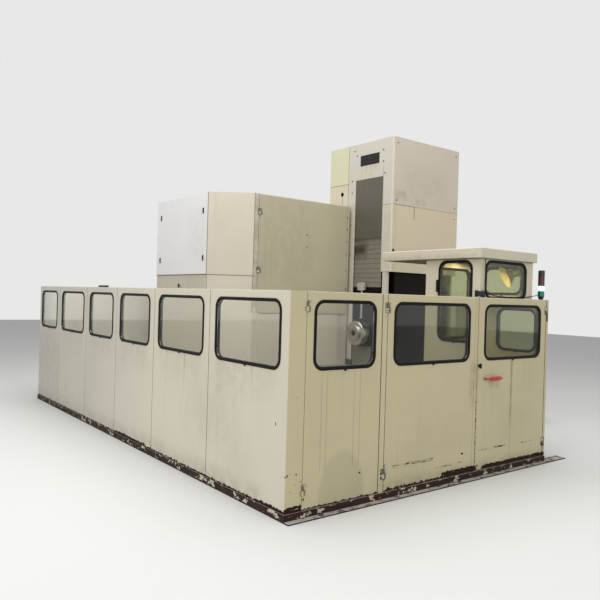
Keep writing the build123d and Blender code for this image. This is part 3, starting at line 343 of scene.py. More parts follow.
def add_marks(tree, where, axes, color, marks, faces):
    """The colour with its marks, and the masks of places where the paint is lost."""
    blot = ramp(tree, noise(tree, where, BLOT_SCALE, detail=4.0, rough=0.6), *BLOT_LEVELS)
    limits = {}
    for along, (other, *ends) in faces.items():
        limits[along] = span(tree, axes[other], *ends, FACE_FADE)
    lost = []
    chip_places = []
    for kind, axis, low, high, bottom, top, fade, strength, *tint in marks:
        shape = round_area if kind == "round" else area
        mask = shape(tree, axes, axis, low, high, bottom, top, fade, strength)
        if axis in limits:
            mask = times(tree, mask, limits[axis])
        if kind in ("line", "round"):
            color = mix_color(tree, mask, color, tint[0] if tint else SEAM)
        elif kind == "stain":
            color = mix_color(tree, times(tree, mask, blot), color, tint[0] if tint else SHADE)
        elif kind == "dash":
            dashes = noise(tree, stretched(tree, where, DASH_STRETCH), 1.0, detail=4.0, rough=0.75)
            lost.append(times(tree, mask, ramp(tree, dashes, *DASH_LEVELS)))
        else:
            chip_places.append(mask)
    if chip_places:
        all_chips = joined(tree, chip_places)
        node = use_group(tree, chips, Vector=where, Where=all_chips, Scale=CHIP_SCALE)
        lost.append(node.outputs["Mask"])
    return color, lost


# %% [markdown]
# The recipe puts the parts together. Where paint is lost, the primer lies a little deeper than the
# enamel, is rougher, and shines less.

# %% Recipe of old paint
SKIN_HEIGHT, CHIP_DEPTH = 0.04, 0.25
BUMP_STRENGTH, BUMP_DISTANCE = 0.5, 0.001
PRIMER_DULLING = 0.3
ENAMEL_SHINE, SHINE_LOSS = 0.5, 0.4


def old_paint(
    name, paint, marks, *, clouds, drips, gloss=0.38, specks=0.0, faces=None, second=None
):
    """Old enamel with marks: (kind, axis, low, high, bottom, top, fade, strength, tint).

    faces says for each axis of the marks on which face they lie, as (other axis, low, high).
    second is another paint on the low side of a place, as (axis, low, high, paint).
    """
    material, shader = new_material(name)
    tree = material.node_tree
    where, axes = object_axes(tree)
    if second:
        axis, low, high, other = second
        paint = mix_color(tree, ramp(tree, axes[axis], low, high), other, paint)
    colors = {"Paint": paint, "Stain": GRIME}
    base = use_group(tree, enamel, Vector=where, Clouds=clouds, Drips=drips, Gloss=gloss, **colors)
    color, lost = add_marks(tree, where, axes, base.outputs["Color"], marks, faces or {})
    if specks:
        dots = noise(tree, where, SPECK_SCALE, detail=2.0, rough=0.4)
        lost.append(times(tree, ramp(tree, dots, *SPECK_LEVELS), specks))
    height = times(tree, base.outputs["Height"], SKIN_HEIGHT)
    roughness = base.outputs["Roughness"]
    if lost:
        bare = joined(tree, lost)
        color = mix_color(tree, bare, color, PRIMER)
        height = math_node(tree, "SUBTRACT", height, times(tree, bare, CHIP_DEPTH))
        roughness = math_node(tree, "ADD", roughness, times(tree, bare, PRIMER_DULLING))
        shine = math_node(tree, "SUBTRACT", ENAMEL_SHINE, times(tree, bare, SHINE_LOSS))
        feed(tree, shader, {"Specular IOR Level": shine})
    bump = relief(tree, height, BUMP_STRENGTH, BUMP_DISTANCE)
    feed(tree, shader, {"Base Color": color, "Roughness": roughness, "Normal": bump})
    return material


def dress(material, *names):
    """Give a material to whole CAD nodes."""
    for name in names:
        data = nodes[name].data
        data.materials.clear()
        data.materials.append(material)
    print(material.name, "on", ", ".join(names))


# %% [markdown]
# ## Helpers for marks
# Three kinds of marks come again and again: dark lines in joints, painted as the shade of their
# grooves, streaks that run down from a place, and hinges, with painted shadow around them while
# their leaves are worn bright.

# %% Lines, streaks and hinges
LINE_FADE = 0.004
STREAK_SOLID = 0.3
STREAK_HALF = 0.003
HINGE_SHADOW = (0.034, -0.006, 0.083)
LEAF_ENDS = (0.006, 0.029)
LEAF_SPANS = ((-1, 0.0, 0.034), (1, 0.042, 0.076))


def joint_lines(axis, places, bottom, top, half=0.002, strength=0.85):
    """Vertical dark lines at places along an axis: painted shade in joints, gaps and pressings."""
    return [("line", axis, at - half, at + half, bottom, top, LINE_FADE, strength) for at in places]


def drip_below(axis, at, top, length, strength, tint=GRIME):
    """Thin streak that runs down from a place and fades out."""
    solid = length * STREAK_SOLID
    fade = (LINE_FADE, length * (1 - STREAK_SOLID))
    sides = (at - STREAK_HALF, at + STREAK_HALF)
    return ("line", axis, *sides, top - solid, top, fade, strength, tint)


def hinge_marks(axis_x, bottoms, side):
    """Painted shadow around each hinge of a door, and the worn bright faces of its two leaves."""
    marks = []
    half, foot, head = HINGE_SHADOW
    for bottom in bottoms:
        marks.append(
            ("line", "x", axis_x - half, axis_x + half, bottom + foot, bottom + head, 0.005, 0.7)
        )
        for way, low, high in LEAF_SPANS:
            ends = sorted(axis_x + way * side * reach for reach in LEAF_ENDS)
            marks.append(("line", "x", *ends, bottom + low, bottom + high, 0.002, 0.75, HIGHLIGHT_AND_BRIGHT_WEAR))
    return marks


# %% [markdown]
# ## The guard's walls
# The long left wall is a pale grey cream; the strip round the corner and the doors are a darker,
# yellower cream. Half of that difference is the paint and half is painted light: side light on
# the left wall, shade on the front. A dark line painted in each joint between two panels stands
# for the shade of its groove, and the foot is nibbled down to primer.

# %% Left wall
# Half of the difference between these two paints is painted light: side light on the left wall,
# shade on the front.
PALE_SIDE_LIT = (0.555, 0.512, 0.41, 1)
CREAM_FRONT_SHADED = (0.485, 0.428, 0.262, 1)
COOL_SHADE = (0.352, 0.342, 0.343, 1)
SILL_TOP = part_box("floor_sill")[1].z
GUARD_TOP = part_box("left_panel_2")[1].z
WINDOW_FOOT = 1.163
LEFT_WINDOWS = ((0.104, 1.131), (1.339, 2.324), (2.532, 3.379), (3.587, 4.418), (4.626, 5.584))

left_panels = [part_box(f"left_panel_{n}") for n in range(1, 7)]
left_joints = [(near[1].y + far[0].y) / 2 for near, far in zip(left_panels, left_panels[1:])]
# A dark line of painted shade in each joint between panels.
left_marks = joint_lines("y", left_joints, SILL_TOP, GUARD_TOP)
left_marks += [
    # Painted highlight along the wall's top edge.
    ("line", "y", 0.05, 7.0, GUARD_TOP - 0.003, GUARD_TOP, 0.004, 0.7, HIGHLIGHT_AND_BRIGHT_WEAR),
    ("chip", "y", 0.3, 6.7, SILL_TOP, SILL_TOP + 0.006, (0.1, 0.055), 0.80),
    ("chip", "y", 2.6, 3.4, SILL_TOP, SILL_TOP + 0.02, (0.1, 0.05), 0.84),
    ("chip", "y", 0.0, 0.35, SILL_TOP, SILL_TOP + 0.015, (0.2, 0.05), 0.86),
    ("chip", "y", -0.02, 0.014, SILL_TOP, 0.38, (0.02, 0.12), 0.485),
    ("chip", "y", -0.02, 0.010, SILL_TOP, 0.10, (0.02, 0.07), 0.72),
    ("chip", "x", 0.145, 0.18, 0.10, 0.30, (0.02, 0.05), 0.52),
    ("chip", "y", 0.142, 0.152, 0.72, 0.77, 0.006, 0.62),
    ("dash", "x", 0.06, 0.12, 0.955, 0.965, 0.006, 1.0),
    ("line", "y", 4.2, 7.2, 0.0, 1.8, (1.8, 0.02), 0.28, COOL_SHADE),
    ("stain", "y", 0.9, 1.2, 0.6, 1.1, 0.3, 0.10),
    ("stain", "y", 6.0, 6.6, 0.1, 1.0, 0.4, 0.20),
    ("stain", "y", 0.4, 6.6, 0.07, 0.14, 0.10, 0.28),
    drip_below("y", 1.712, WINDOW_FOOT, 0.50, 0.55, RUST),
    drip_below("y", 0.513, WINDOW_FOOT, 0.20, 0.40),
]
for low, high in LEFT_WINDOWS:
    left_marks.append(("stain", "y", low + 0.1, high - 0.1, 1.05, 1.16, (0.1, 0.25), 0.13, GRIME))
    left_marks.append(drip_below("y", (low + high) / 2 - 0.12, WINDOW_FOOT, 0.35, 0.25))
left_wall = old_paint(
    "left wall enamel",
    PALE_SIDE_LIT,
    left_marks,
    faces={"y": ("x", -0.1, 0.165), "x": ("y", -0.1, 0.02)},
    # The corner panel's front face takes the front's cream with its painted shade.
    second=("y", 0.0, 0.006, CREAM_FRONT_SHADED),
    clouds=0.12,
    drips=0.18,
    specks=0.5,
)
dress(left_wall, *[f"left_panel_{n}" for n in range(1, 7)], "far_wall", "return_wall")

# %% [markdown]
# The doors carry these marks: two pairs of pressed lines below the first window, drawn as thin
# stripes of painted shade, a grey rounded patch low on the first door, rows of scrapes at trolley
# height, rust below a window, and worn hinges with painted shadow around them.

# %% Doors and posts
DOOR_HINGES = {"first_door": (0.1675, 1), "second_door": (1.0665, 1), "third_door": (3.5475, -1)}
GUARD_HINGES = (0.190, GUARD_TOP - 0.160)
FRONT_GAPS = (0.1655, 1.0015, 1.0665, 2.340, 3.5475)
PRESSED_LINE_SHADES = (0.342, 0.398, 0.697, 0.764)
# Dark lines of painted shade in the gaps between doors and posts.
front_marks = joint_lines("x", FRONT_GAPS, 0.07, GUARD_TOP)
# Thin stripes of painted shade where the first door's sheet is pressed.
front_marks += joint_lines("x", PRESSED_LINE_SHADES, 0.35, 1.14, half=0.004, strength=0.20)
front_marks += [
    # Painted highlight along the doors' top edge.
    ("line", "x", 0.0, 4.0, GUARD_TOP - 0.003, GUARD_TOP, 0.004, 0.7, HIGHLIGHT_AND_BRIGHT_WEAR),
    # A grey rounded patch low on the first door.
    ("round", "x", 0.31, 0.86, -0.31, 0.53, 0.35, 0.16),
    ("line", "x", 2.922, 2.932, 0.85, 1.16, (0.007, 0.40), 0.55, RUST),
    ("stain", "x", 2.915, 2.940, 0.60, 1.16, (0.02, 0.20), 0.40, RUST),
    ("line", "x", 2.924, 2.930, 0.10, 0.60, (0.006, 0.30), 0.35, GRIME),
    ("line", "x", 2.337, 2.343, 0.07, GUARD_TOP, 0.014, 0.60, GRIME),
    ("stain", "x", 2.56, 2.70, 0.90, 0.95, (0.03, 0.04), 0.30, GRIME),
    ("stain", "x", 1.1, 3.5, 0.07, 0.12, (0.2, 0.08), 0.35),
    ("stain", "x", 2.25, 2.34, 0.8, 1.1, (0.04, 0.15), 0.3, GRIME),
    ("dash", "x", 1.18, 1.72, 0.264, 0.282, 0.008, 1.0),
    ("dash", "x", 1.76, 2.16, 0.180, 0.188, 0.006, 1.0),
    ("chip", "x", 2.132, 2.160, 0.262, 0.276, 0.006, 0.9),
    ("chip", "x", 1.355, 1.395, 0.276, 0.284, 0.006, 0.85),
    ("chip", "x", 0.772, 0.792, 0.276, 0.286, 0.005, 0.8),
    ("dash", "x", 2.40, 2.86, 0.264, 0.274, 0.006, 1.0),
    ("dash", "x", 3.14, 3.34, 0.258, 0.266, 0.005, 1.0),
    ("dash", "x", 3.33, 3.48, 0.106, 0.116, 0.006, 1.0),
    ("chip", "x", 0.2, 1.0, 0.075, 0.078, (0.1, 0.035), 0.70),
    ("chip", "x", 1.1, 1.9, 0.075, 0.080, (0.1, 0.06), 0.78),
    ("chip", "x", 1.9, 2.34, 0.075, 0.120, (0.2, 0.035), 0.84),
    ("chip", "x", 2.5, 3.55, 0.075, 0.105, (0.2, 0.035), 0.84),
    ("chip", "x", 0.16, 0.19, 0.12, 0.24, (0.02, 0.04), 0.56),
    ("chip", "x", 1.03, 1.09, 0.12, 0.30, (0.02, 0.05), 0.58),
    ("chip", "x", 3.52, 3.58, 0.12, 0.28, (0.02, 0.05), 0.56),
    ("chip", "x", 0.15, 0.19, 1.60, 1.72, 0.01, 0.50),
    ("chip", "x", 1.04, 1.09, 1.60, 1.72, 0.01, 0.52),
    ("chip", "x", 2.330, 2.350, 0.10, 0.75, (0.01, 0.1), 0.60),
]
for axis_x, side in DOOR_HINGES.values():
    front_marks += hinge_marks(axis_x, GUARD_HINGES, side)
front_wall = old_paint(
    "front wall enamel",
    CREAM_FRONT_SHADED,
    front_marks,
    faces={"x": ("y", -0.1, 0.008)},
    clouds=0.14,
    drips=0.24,
    specks=0.6,
)
dress(front_wall, "front_posts", "door_1", "door_2", "door_3")

# %% [markdown]
# ## The machine's own covers
# The column's cover, the booth and the tool magazine are of the same family of paint, each aged
# in its own way: the magazine's side panel was renewed and is nearly white, and its door has gone
# grey. The recipe stays the same, so only the colours and the lists of marks are new.

# %% Tool magazine
COVER = (0.545, 0.492, 0.375, 1)
CABINET = (0.545, 0.495, 0.395, 1)
GREY_DOOR = (0.450, 0.405, 0.278, 1)
RENEWED = (0.775, 0.750, 0.740, 1)
YELLOWED = (0.42, 0.385, 0.225, 1)
CABINET_FOOT, CABINET_TOP = 1.5, 3.25
CABINET_HINGE_X = 2.268
CABINET_HINGES = (2.092, 2.950)

# Dark lines of painted shade at the chamfer's fold and at the hinge gap.
magazine_marks = joint_lines(
    "x", (2.180, 2.258), CABINET_FOOT, CABINET_TOP, half=0.0025, strength=0.7
)
magazine_marks += [
    ("line", "y", 3.8, 6.0, 2.036, 2.042, 0.005, 0.65),
    ("line", "y", 4.296, 4.302, CABINET_FOOT, CABINET_TOP, 0.004, 0.55),
    ("stain", "y", 4.3, 5.9, 1.85, 2.0, 0.12, 0.08, GRIME),
    ("stain", "x", 2.18, 2.26, 1.6, 3.20, (0.01, 0.04), 0.4, SHADE),
    ("line", "y", 5.12, 5.22, 1.82, 1.86, 0.04, 0.4, GRIME),
]
magazine_marks += hinge_marks(CABINET_HINGE_X, CABINET_HINGES, 1)
cabinet_paint = old_paint(
    "magazine enamel",
    CABINET,
    magazine_marks,
    faces={"x": ("y", 3.7, 3.87), "y": ("x", 1.6, 2.17)},
    clouds=0.10,
    drips=0.14,
)
dress(cabinet_paint, "magazine_cabinet", "magazine_lower_panel")
door_marks = [
    ("line", "x", 2.24, 2.266, CABINET_FOOT, CABINET_TOP, 0.004, 0.6),
    ("line", "x", 3.978, 3.986, CABINET_FOOT, CABINET_TOP, 0.004, 0.5),
    ("stain", "x", 3.60, 3.95, 1.8, 3.2, 0.25, 0.12, YELLOWED),
    ("stain", "x", 2.4, 3.1, 2.2, 3.1, 0.35, 0.16),
    # Painted highlight along the door's top edge, as on the guard.
    ("line", "x", 2.24, 3.99, 3.236, 3.241, 0.004, 0.5, HIGHLIGHT_AND_BRIGHT_WEAR),
]
door_marks += hinge_marks(CABINET_HINGE_X, CABINET_HINGES, 1)
door_paint = old_paint("magazine door enamel", GREY_DOOR, door_marks, clouds=0.10, drips=0.20)
dress(door_paint, "magazine_door")
panel_marks = [
    ("line", "y", 4.30, 4.306, 2.04, CABINET_TOP, 0.003, 0.75),
    ("line", "y", 4.3, 6.0, 2.044, 2.049, 0.003, 0.6),
    ("stain", "y", 4.45, 4.8, 2.4, 2.9, 0.2, 0.10),
]
renewed_paint = old_paint("renewed side enamel", RENEWED, panel_marks, clouds=0.04, drips=0.08)
dress(renewed_paint, "magazine_side_panel")

# %% [markdown]
# The column's sheets were replaced at different times, so their colours differ. Each odd sheet is
# one large mark with thin edges, which saves a material of its own. The streaks under the bare
# plate show best up close, and so does the dark line painted in the seam between the sheets,
# which stands for the shade of its groove.

# %% Column
UPPER_STRIP = (0.52, 0.515, 0.345, 1)
FRONT_COVER = (0.500, 0.468, 0.405, 1)
UPPER_SIDE = (0.583, 0.506, 0.385, 1)
LOWER_SIDE = (0.655, 0.531, 0.327, 1)
COLUMN_FOOT, COLUMN_SEAM, COLUMN_TOP = 0.8, 3.215, 4.25

column_marks = [
    ("line", "x", 4.08, 5.62, COLUMN_SEAM, COLUMN_TOP, 0.003, 0.6, UPPER_SIDE),
    ("line", "x", 4.08, 5.62, COLUMN_FOOT, COLUMN_SEAM, 0.003, 0.6, LOWER_SIDE),
    # Dark lines painted along the seams between the sheets: painted shade of their grooves.
    ("line", "x", 4.097, 4.565, 3.213, 3.217, 0.005, 0.8),
    ("line", "x", 4.565, 5.617, 3.213, 3.217, 0.005, 0.35),
    ("line", "x", 4.560, 4.571, 3.02, COLUMN_SEAM, 0.005, 0.85),
    ("line", "y", 3.945, 4.42, 3.64, COLUMN_TOP, 0.006, 0.9, UPPER_STRIP),
    # More seam lines of painted shade.
    ("line", "y", 3.937, 3.943, COLUMN_FOOT, COLUMN_TOP, 0.005, 0.6),
    ("line", "y", 3.94, 4.42, 3.628, 3.632, 0.005, 0.75),
    ("line", "y", 2.93, 3.14, 3.213, 3.217, 0.004, 0.5),
    ("line", "y", 3.135, 3.141, 1.8, 3.80, 0.010, 0.4, GRIME),
    ("stain", "y", 3.28, 3.64, 3.70, 3.86, 0.05, 0.35, YELLOWED),
    ("line", "y", 3.42, 3.426, 3.80, 3.88, (0.01, 0.07), 0.4, GRIME),
    ("line", "y", 3.53, 3.535, 3.78, 3.88, (0.008, 0.06), 0.4, GRIME),
    ("line", "y", 3.33, 3.334, 3.82, 3.88, (0.006, 0.05), 0.3, GRIME),
    ("stain", "y", 2.95, 3.08, 2.0, 3.2, 0.05, 0.30, YELLOWED),
    ("stain", "y", 3.76, 3.93, 1.8, 3.3, 0.04, 0.45, YELLOWED),
    ("line", "y", 4.078, 4.092, 3.24, 3.46, 0.02, 0.4, GRIME),
    ("stain", "x", 4.15, 4.35, 3.30, 3.40, 0.06, 0.28),
    ("stain", "x", 4.60, 4.80, 3.27, 3.33, 0.05, 0.25),
    ("stain", "x", 4.45, 5.1, 3.45, 3.75, 0.25, 0.12),
    ("stain", "x", 4.10, 4.16, 2.0, 3.2, 0.04, 0.3, YELLOWED),
    ("stain", "x", 4.1, 5.6, 0.8, 2.4, 0.3, 0.25, YELLOWED),
]
column_paint = old_paint(
    "column enamel",
    COVER,
    column_marks,
    faces={"x": ("y", 2.9, 2.934), "y": ("x", 4.0, 4.075)},
    second=("y", 3.9395, 3.9405, FRONT_COVER),
    clouds=0.12,
    drips=0.16,
)
dress(column_paint, "column_cover")

# %% Booth
booth_marks = [
    ("line", "x", 2.3, 3.6, 2.196, 2.200, 0.006, 0.6),
    ("stain", "x", 2.43, 3.24, 2.10, 2.20, 0.10, 0.25, YELLOWED),
    ("stain", "y", 0.1, 1.4, 2.20, 2.23, 0.03, 0.25, GRIME),
    ("line", "x", 2.46, 2.50, 1.80, 1.86, 0.03, 0.6, GRIME),
]
booth_paint = old_paint("booth enamel", COVER, booth_marks, clouds=0.14, drips=0.2, specks=0.4)
dress(booth_paint, "booth_frame", "booth_roof")

# %% [markdown]
# ## Castings, steel and plastics
# The rest needs less: a base colour broken by a cloud, a fine grain in the gloss, and for ground or
# brushed steel the grain drawn out along the way the tool went.

# %% Plain finishes
MOTTLE_LEVELS = (0.3, 0.7)
GLOSS_SPREAD = 0.12
GRAIN_DEPTH = 0.0006


def plain(
    name,
    color,
    roughness,
    metallic=0.0,
    mottle=0.3,
    scale=8.0,
    bump=0.3,
    bump_scale=120.0,
    spread=(1, 1, 1),
    specular=0.5,
):
    """Finish with a little colour change and a fine skin, drawn out by spread."""
    material, shader = new_material(name)
    tree = material.node_tree
    where = object_place(tree)
    clouding = ramp(tree, noise(tree, where, scale, detail=4.0, rough=0.6), *MOTTLE_LEVELS)
    dark = (*[channel * (1 - mottle) for channel in color[:3]], 1)
    grain = noise(tree, stretched(tree, where, spread), bump_scale, detail=3.0, rough=0.6)
    lowest = roughness - GLOSS_SPREAD / 2
    gloss = math_node(tree, "ADD", lowest, times(tree, grain, GLOSS_SPREAD))
    finish = {
        "Base Color": mix_color(tree, clouding, dark, color),
        "Roughness": gloss,
        "Metallic": metallic,
        "Specular IOR Level": specular,
        "Normal": relief(tree, grain, bump, GRAIN_DEPTH),
    }
    feed(tree, shader, finish)
    return material


# %% Rubber, castings and bare metal
rubber = plain("seal rubber", (0.006, 0.006, 0.005, 1), 0.48, bump=0.15, specular=0.12)
dress(rubber, "wall_seals", "door_1_seal", "door_2_seal", "door_3_seal")
iron = plain("painted casting", (0.075, 0.08, 0.066, 1), 0.5, mottle=0.45, scale=3.0)
dress(iron, "bed", "saddle", "table_bed", "table_saddle", "disc_stand")
# The column and the headstock stand deep inside the guard; their dark iron is painted nearly black,
# with painted shade for the dim inside.
shaded_dark_iron = plain(
    "dark casting with painted shade", (0.007, 0.005, 0.004, 1), 0.45, mottle=0.5, scale=3.0, specular=0.1
)
dress(shaded_dark_iron, "column", "headstock")
# Each row: colour, roughness, metallic, mottle, scale, bump, bump scale and spread of the grain.
GROUND_STEEL = ((0.50, 0.49, 0.46, 1), 0.28, 1.0, 0.18, 6.0, 0.25, 60.0, (1, 1, 6))
POLISHED_RAM = ((0.56, 0.55, 0.52, 1), 0.20, 1.0, 0.15, 4.0, 0.20, 50.0, (8, 1, 1))
PLANED_IRON = ((0.30, 0.29, 0.27, 1), 0.38, 0.8, 0.30, 5.0, 0.40, 40.0, (1, 9, 1))
COVER_STEEL = ((0.33, 0.32, 0.29, 1), 0.38, 0.85, 0.30, 4.0, 0.30, 60.0, (8, 1, 1))
dress(plain("ground steel", *GROUND_STEEL), "bed_rails", "spindle", "tool_disc")
dress(plain("polished ram", *POLISHED_RAM), "ram")
dress(plain("planed iron", *PLANED_IRON), "rotary_table")
cover_steel = plain("way cover steel", *COVER_STEEL)
dress(cover_steel, "saddle_way_covers", "sliding_way_covers", "fixed_way_covers")

# %% [markdown]
# The slatted curtain and the apron slide with the headstock and have lost their shine. They are
# old paint as well, but darker, with more clouds and drips and one nearly black patch.

# %% Dull sheets in front of the ram
DULL_SHEET = (0.165, 0.150, 0.112, 1)
DULL_PLATE = (0.086, 0.079, 0.058, 1)
DARK_PATCH = (0.016, 0.014, 0.010, 1)
PATCH_RIM = (0.03, 0.028, 0.02, 1)
UPPER_DARKENING = (0.06, 0.055, 0.04, 1)
# A darker band higher up on the curtain and on the front plate.
upper_darkening = ("stain", "y", 3.14, 3.76, 2.70, 3.05, 0.30, 0.45, UPPER_DARKENING)
curtain_marks = [
    ("line", "y", 3.56, 3.80, 2.50, 2.58, (0.12, 0.05), 0.92, DARK_PATCH),
    ("stain", "y", 3.50, 3.76, 2.42, 2.66, 0.08, 0.5, PATCH_RIM),
    upper_darkening,
]
curtain_paint = old_paint(
    "dull cover sheet", DULL_SHEET, curtain_marks, clouds=0.35, drips=0.6, gloss=0.42
)
dress(curtain_paint, "slat_curtain", "apron_top", "apron_upper", "apron_lower", "apron_fixed")
plate_paint = old_paint(
    "dull front plate", DULL_PLATE, [upper_darkening], clouds=0.3, drips=0.7, gloss=0.40
)
dress(plate_paint, "front_plate")

# %% Plastics and lamps
black = plain("black plastic", (0.02, 0.019, 0.018, 1), 0.38, specular=0.2)
dress(black, "door_latch", "door_switch", "name_plate")
red = plain("red plastic", (0.50, 0.025, 0.015, 1), 0.3, mottle=0.25)
dress(red, "door_handle", "stop_button")
console_grey = plain("console grey", (0.30, 0.30, 0.27, 1), 0.45)
dress(console_grey, "control_console")
gold = plain("lamp enamel", (0.74, 0.63, 0.32, 1), 0.28, metallic=0.25, mottle=0.2)
dress(gold, "lamp_head")
bright_metal = plain("bright lamp metal", (0.75, 0.74, 0.70, 1), 0.3, metallic=0.6, mottle=0.2)
dress(bright_metal, "work_lamp")

# %% [markdown]
# The signal tower is a stack of modules in one housing. Only the pale one is lit. The colours
# change with height, so one material serves the whole stack.

# %% Signal tower
TOWER_BLACK = (0.012, 0.012, 0.012, 1)
TOWER_RED = (0.085, 0.012, 0.012, 1)
TOWER_GREEN = (0.012, 0.16, 0.085, 1)
TOWER_STEPS = [(1.838, TOWER_GREEN), (1.925, TOWER_RED), (2.050, TOWER_BLACK)]
STEP_HALF = 0.0005
LIT_MODULE = (0.62, 0.92, 0.80, 1)
LIT_GLOW, GLOW_STRENGTH = (0.50, 1.0, 0.85, 1), 1.1

tower, tower_shader = new_material("dark signal modules")
_, tower_axes = object_axes(tower.node_tree)
tower_color = TOWER_BLACK
for height, tint in TOWER_STEPS:
    step = ramp(tower.node_tree, tower_axes["z"], height - STEP_HALF, height + STEP_HALF)
    tower_color = mix_color(tower.node_tree, step, tower_color, tint)
feed(tower.node_tree, tower_shader, {"Base Color": tower_color, "Roughness": 0.25})
dress(tower, "tower_modules")
lit = plain("lit signal module", LIT_MODULE, 0.3, mottle=0.1)
lit_shader = lit.node_tree.nodes["Principled BSDF"]
feed(lit.node_tree, lit_shader, {"Emission Color": LIT_GLOW, "Emission Strength": GLOW_STRENGTH})
dress(lit, "tower_lit_module")

# %% [markdown]
# The sill beam is dark primer with flakes of the old cream still on it. Dust lies on its level
# flange, which is why the flange reads as a pale line along the floor.

# %% Floor sill
DUST = (0.36, 0.32, 0.285, 1)
PALER_PRIMER = (0.032, 0.015, 0.011, 1)
OLD_CREAM = (0.50, 0.45, 0.34, 1)
LEVEL_NORMAL = (0.5, 0.8)
FLANGE_TOP = (0.010, 0.018)
FLAKE_STRETCH, FLAKE_SCALE, FLAKE_LEVELS = (1, 1, 1.6), 9.0, (0.570, 0.585)
WEAR_SCALE, WEAR_LEVELS = 6.0, (0.3, 0.7)
DUST_SCALE, DUST_LEVELS = 14.0, (0.36, 0.52)

sill, sill_shader = new_material("chipped sill")
tree = sill.node_tree
where, sill_axes = object_axes(tree)
normal = put(tree, "ShaderNodeNewGeometry").outputs["Normal"]
facing = put(tree, "ShaderNodeSeparateXYZ", None, Vector=normal)
level = ramp(tree, facing.outputs[2], *LEVEL_NORMAL)
flaking = noise(tree, stretched(tree, where, FLAKE_STRETCH), FLAKE_SCALE, detail=5.0, rough=0.7)
above_flange = ramp(tree, sill_axes["z"], *FLANGE_TOP)
flakes = times(tree, ramp(tree, flaking, *FLAKE_LEVELS), above_flange)
wear = ramp(tree, noise(tree, where, WEAR_SCALE, detail=4.0, rough=0.6), *WEAR_LEVELS)
worn = mix_color(tree, wear, PALER_PRIMER, PRIMER)
side_color = mix_color(tree, flakes, worn, OLD_CREAM)
dust = ramp(tree, noise(tree, where, DUST_SCALE, detail=5.0, rough=0.7), *DUST_LEVELS)
dusty = mix_color(tree, dust, worn, DUST)
sill_color = mix_color(tree, level, side_color, dusty)
feed(tree, sill_shader, {"Base Color": sill_color, "Roughness": 0.7, "Specular IOR Level": 0.2})
dress(sill, "floor_sill")

# %% [markdown]
# The panes are slightly green and dusty. From the second door on, and in the booth, a deeper tint
# stands for the dark hall that one sees through them.

# %% Window panes
GLASS_CHANGE = (1.0, 1.1)
GLASS_ROUGHNESS = 0.03
GLASS_REFRACTION = 1.45


def glass(name, color, far_color):
    """Slightly dusty glass with one tint near the corner and another farther along x."""
    material, shader = new_material(name)
    tree = material.node_tree
    _, axes = object_axes(tree)
    farther = ramp(tree, axes["x"], *GLASS_CHANGE)
    tint = mix_color(tree, farther, color, far_color)
    clear = {"Transmission Weight": 1.0, "Roughness": GLASS_ROUGHNESS, "IOR": GLASS_REFRACTION}
    feed(tree, shader, {"Base Color": tint, **clear})
    return material


CLEAR_GLASS = (0.96, 0.97, 0.93, 1)
BOOTH_GLASS = (0.64, 0.65, 0.47, 1)
DOOR_GLASS = (0.53, 0.55, 0.44, 1)
dress(glass("wall glass", CLEAR_GLASS, BOOTH_GLASS), "wall_panes")
dress(glass("door glass", CLEAR_GLASS, DOOR_GLASS), "door_1_pane", "door_2_pane", "door_3_pane")

# %% [markdown]
# ## Rubber rims
# Each window is held by a rubber profile pushed over the edge of its opening. Outside it shows as
# a round black bead. One rim is made like this: a flat sheet with its corners rounded is inset and
# opened to a ring, the ring gets its thickness, and its sharp edges are rounded. The frame's seals
# are plain rings of the same size, so the modelled rims take their places.

# %% Tools for pieces
RIM_FACE = 0.029
RIM_LAP = 0.0143
RIM_PROUD = 0.006
RIM_BEAD = RIM_PROUD + 0.004
RIM_CORE = 0.036
BEAD_EDGE, CORE_EDGE = 0.0055, 0.003
RIM_RADIUS = 0.1
ARC_STEPS = 7
SHARP = math.radians(60)
SMOOTH = math.radians(35)
SAME_POINT = 1e-5


def select_only(*pieces):
    """Select some pieces and nothing else; the first becomes active."""
    bpy.ops.object.select_all(action="DESELECT")
    for piece in pieces:
        piece.select_set(True)
    bpy.context.view_layer.objects.active = pieces[0]


def settle(name):
    """Name the new primitive and move its place, turn and size into its mesh."""
    piece = bpy.context.object
    piece.name = name
    bpy.ops.object.transform_apply(location=True, rotation=True, scale=True)
    return piece


def add_modifier(piece, kind, **settings):
    """Add a modifier, set it and apply it at once."""
    select_only(piece)
    modifier = piece.modifiers.new(kind, kind)
    for key, value in settings.items():
        setattr(modifier, key, value)
    bpy.ops.object.modifier_apply(modifier=modifier.name)


def soften(piece, width, segments):
    """Round the sharp edges of a piece, but not the steps of its curves."""
    limit = {"limit_method": "ANGLE", "angle_limit": SHARP}
    add_modifier(piece, "BEVEL", width=width, segments=segments, **limit)


def block(name, middle, size):
    """Block of a size around a middle."""
    bpy.ops.object.select_all(action="DESELECT")
    bpy.ops.mesh.primitive_cube_add(size=1, location=middle)
    bpy.context.object.scale = size
    return settle(name)


def join(name, pieces, material, body):
    """Make one piece of several, with one finish, riding on a body."""
    select_only(*pieces)
    if len(pieces) > 1:
        bpy.ops.object.join()
    piece = bpy.context.object
    piece.name = name
    piece.data.materials.clear()
    piece.data.materials.append(material)
    bpy.ops.object.shade_smooth_by_angle(angle=SMOOTH)
    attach(piece, body)
    print(name, "faces:", len(piece.data.polygons))
    return piece


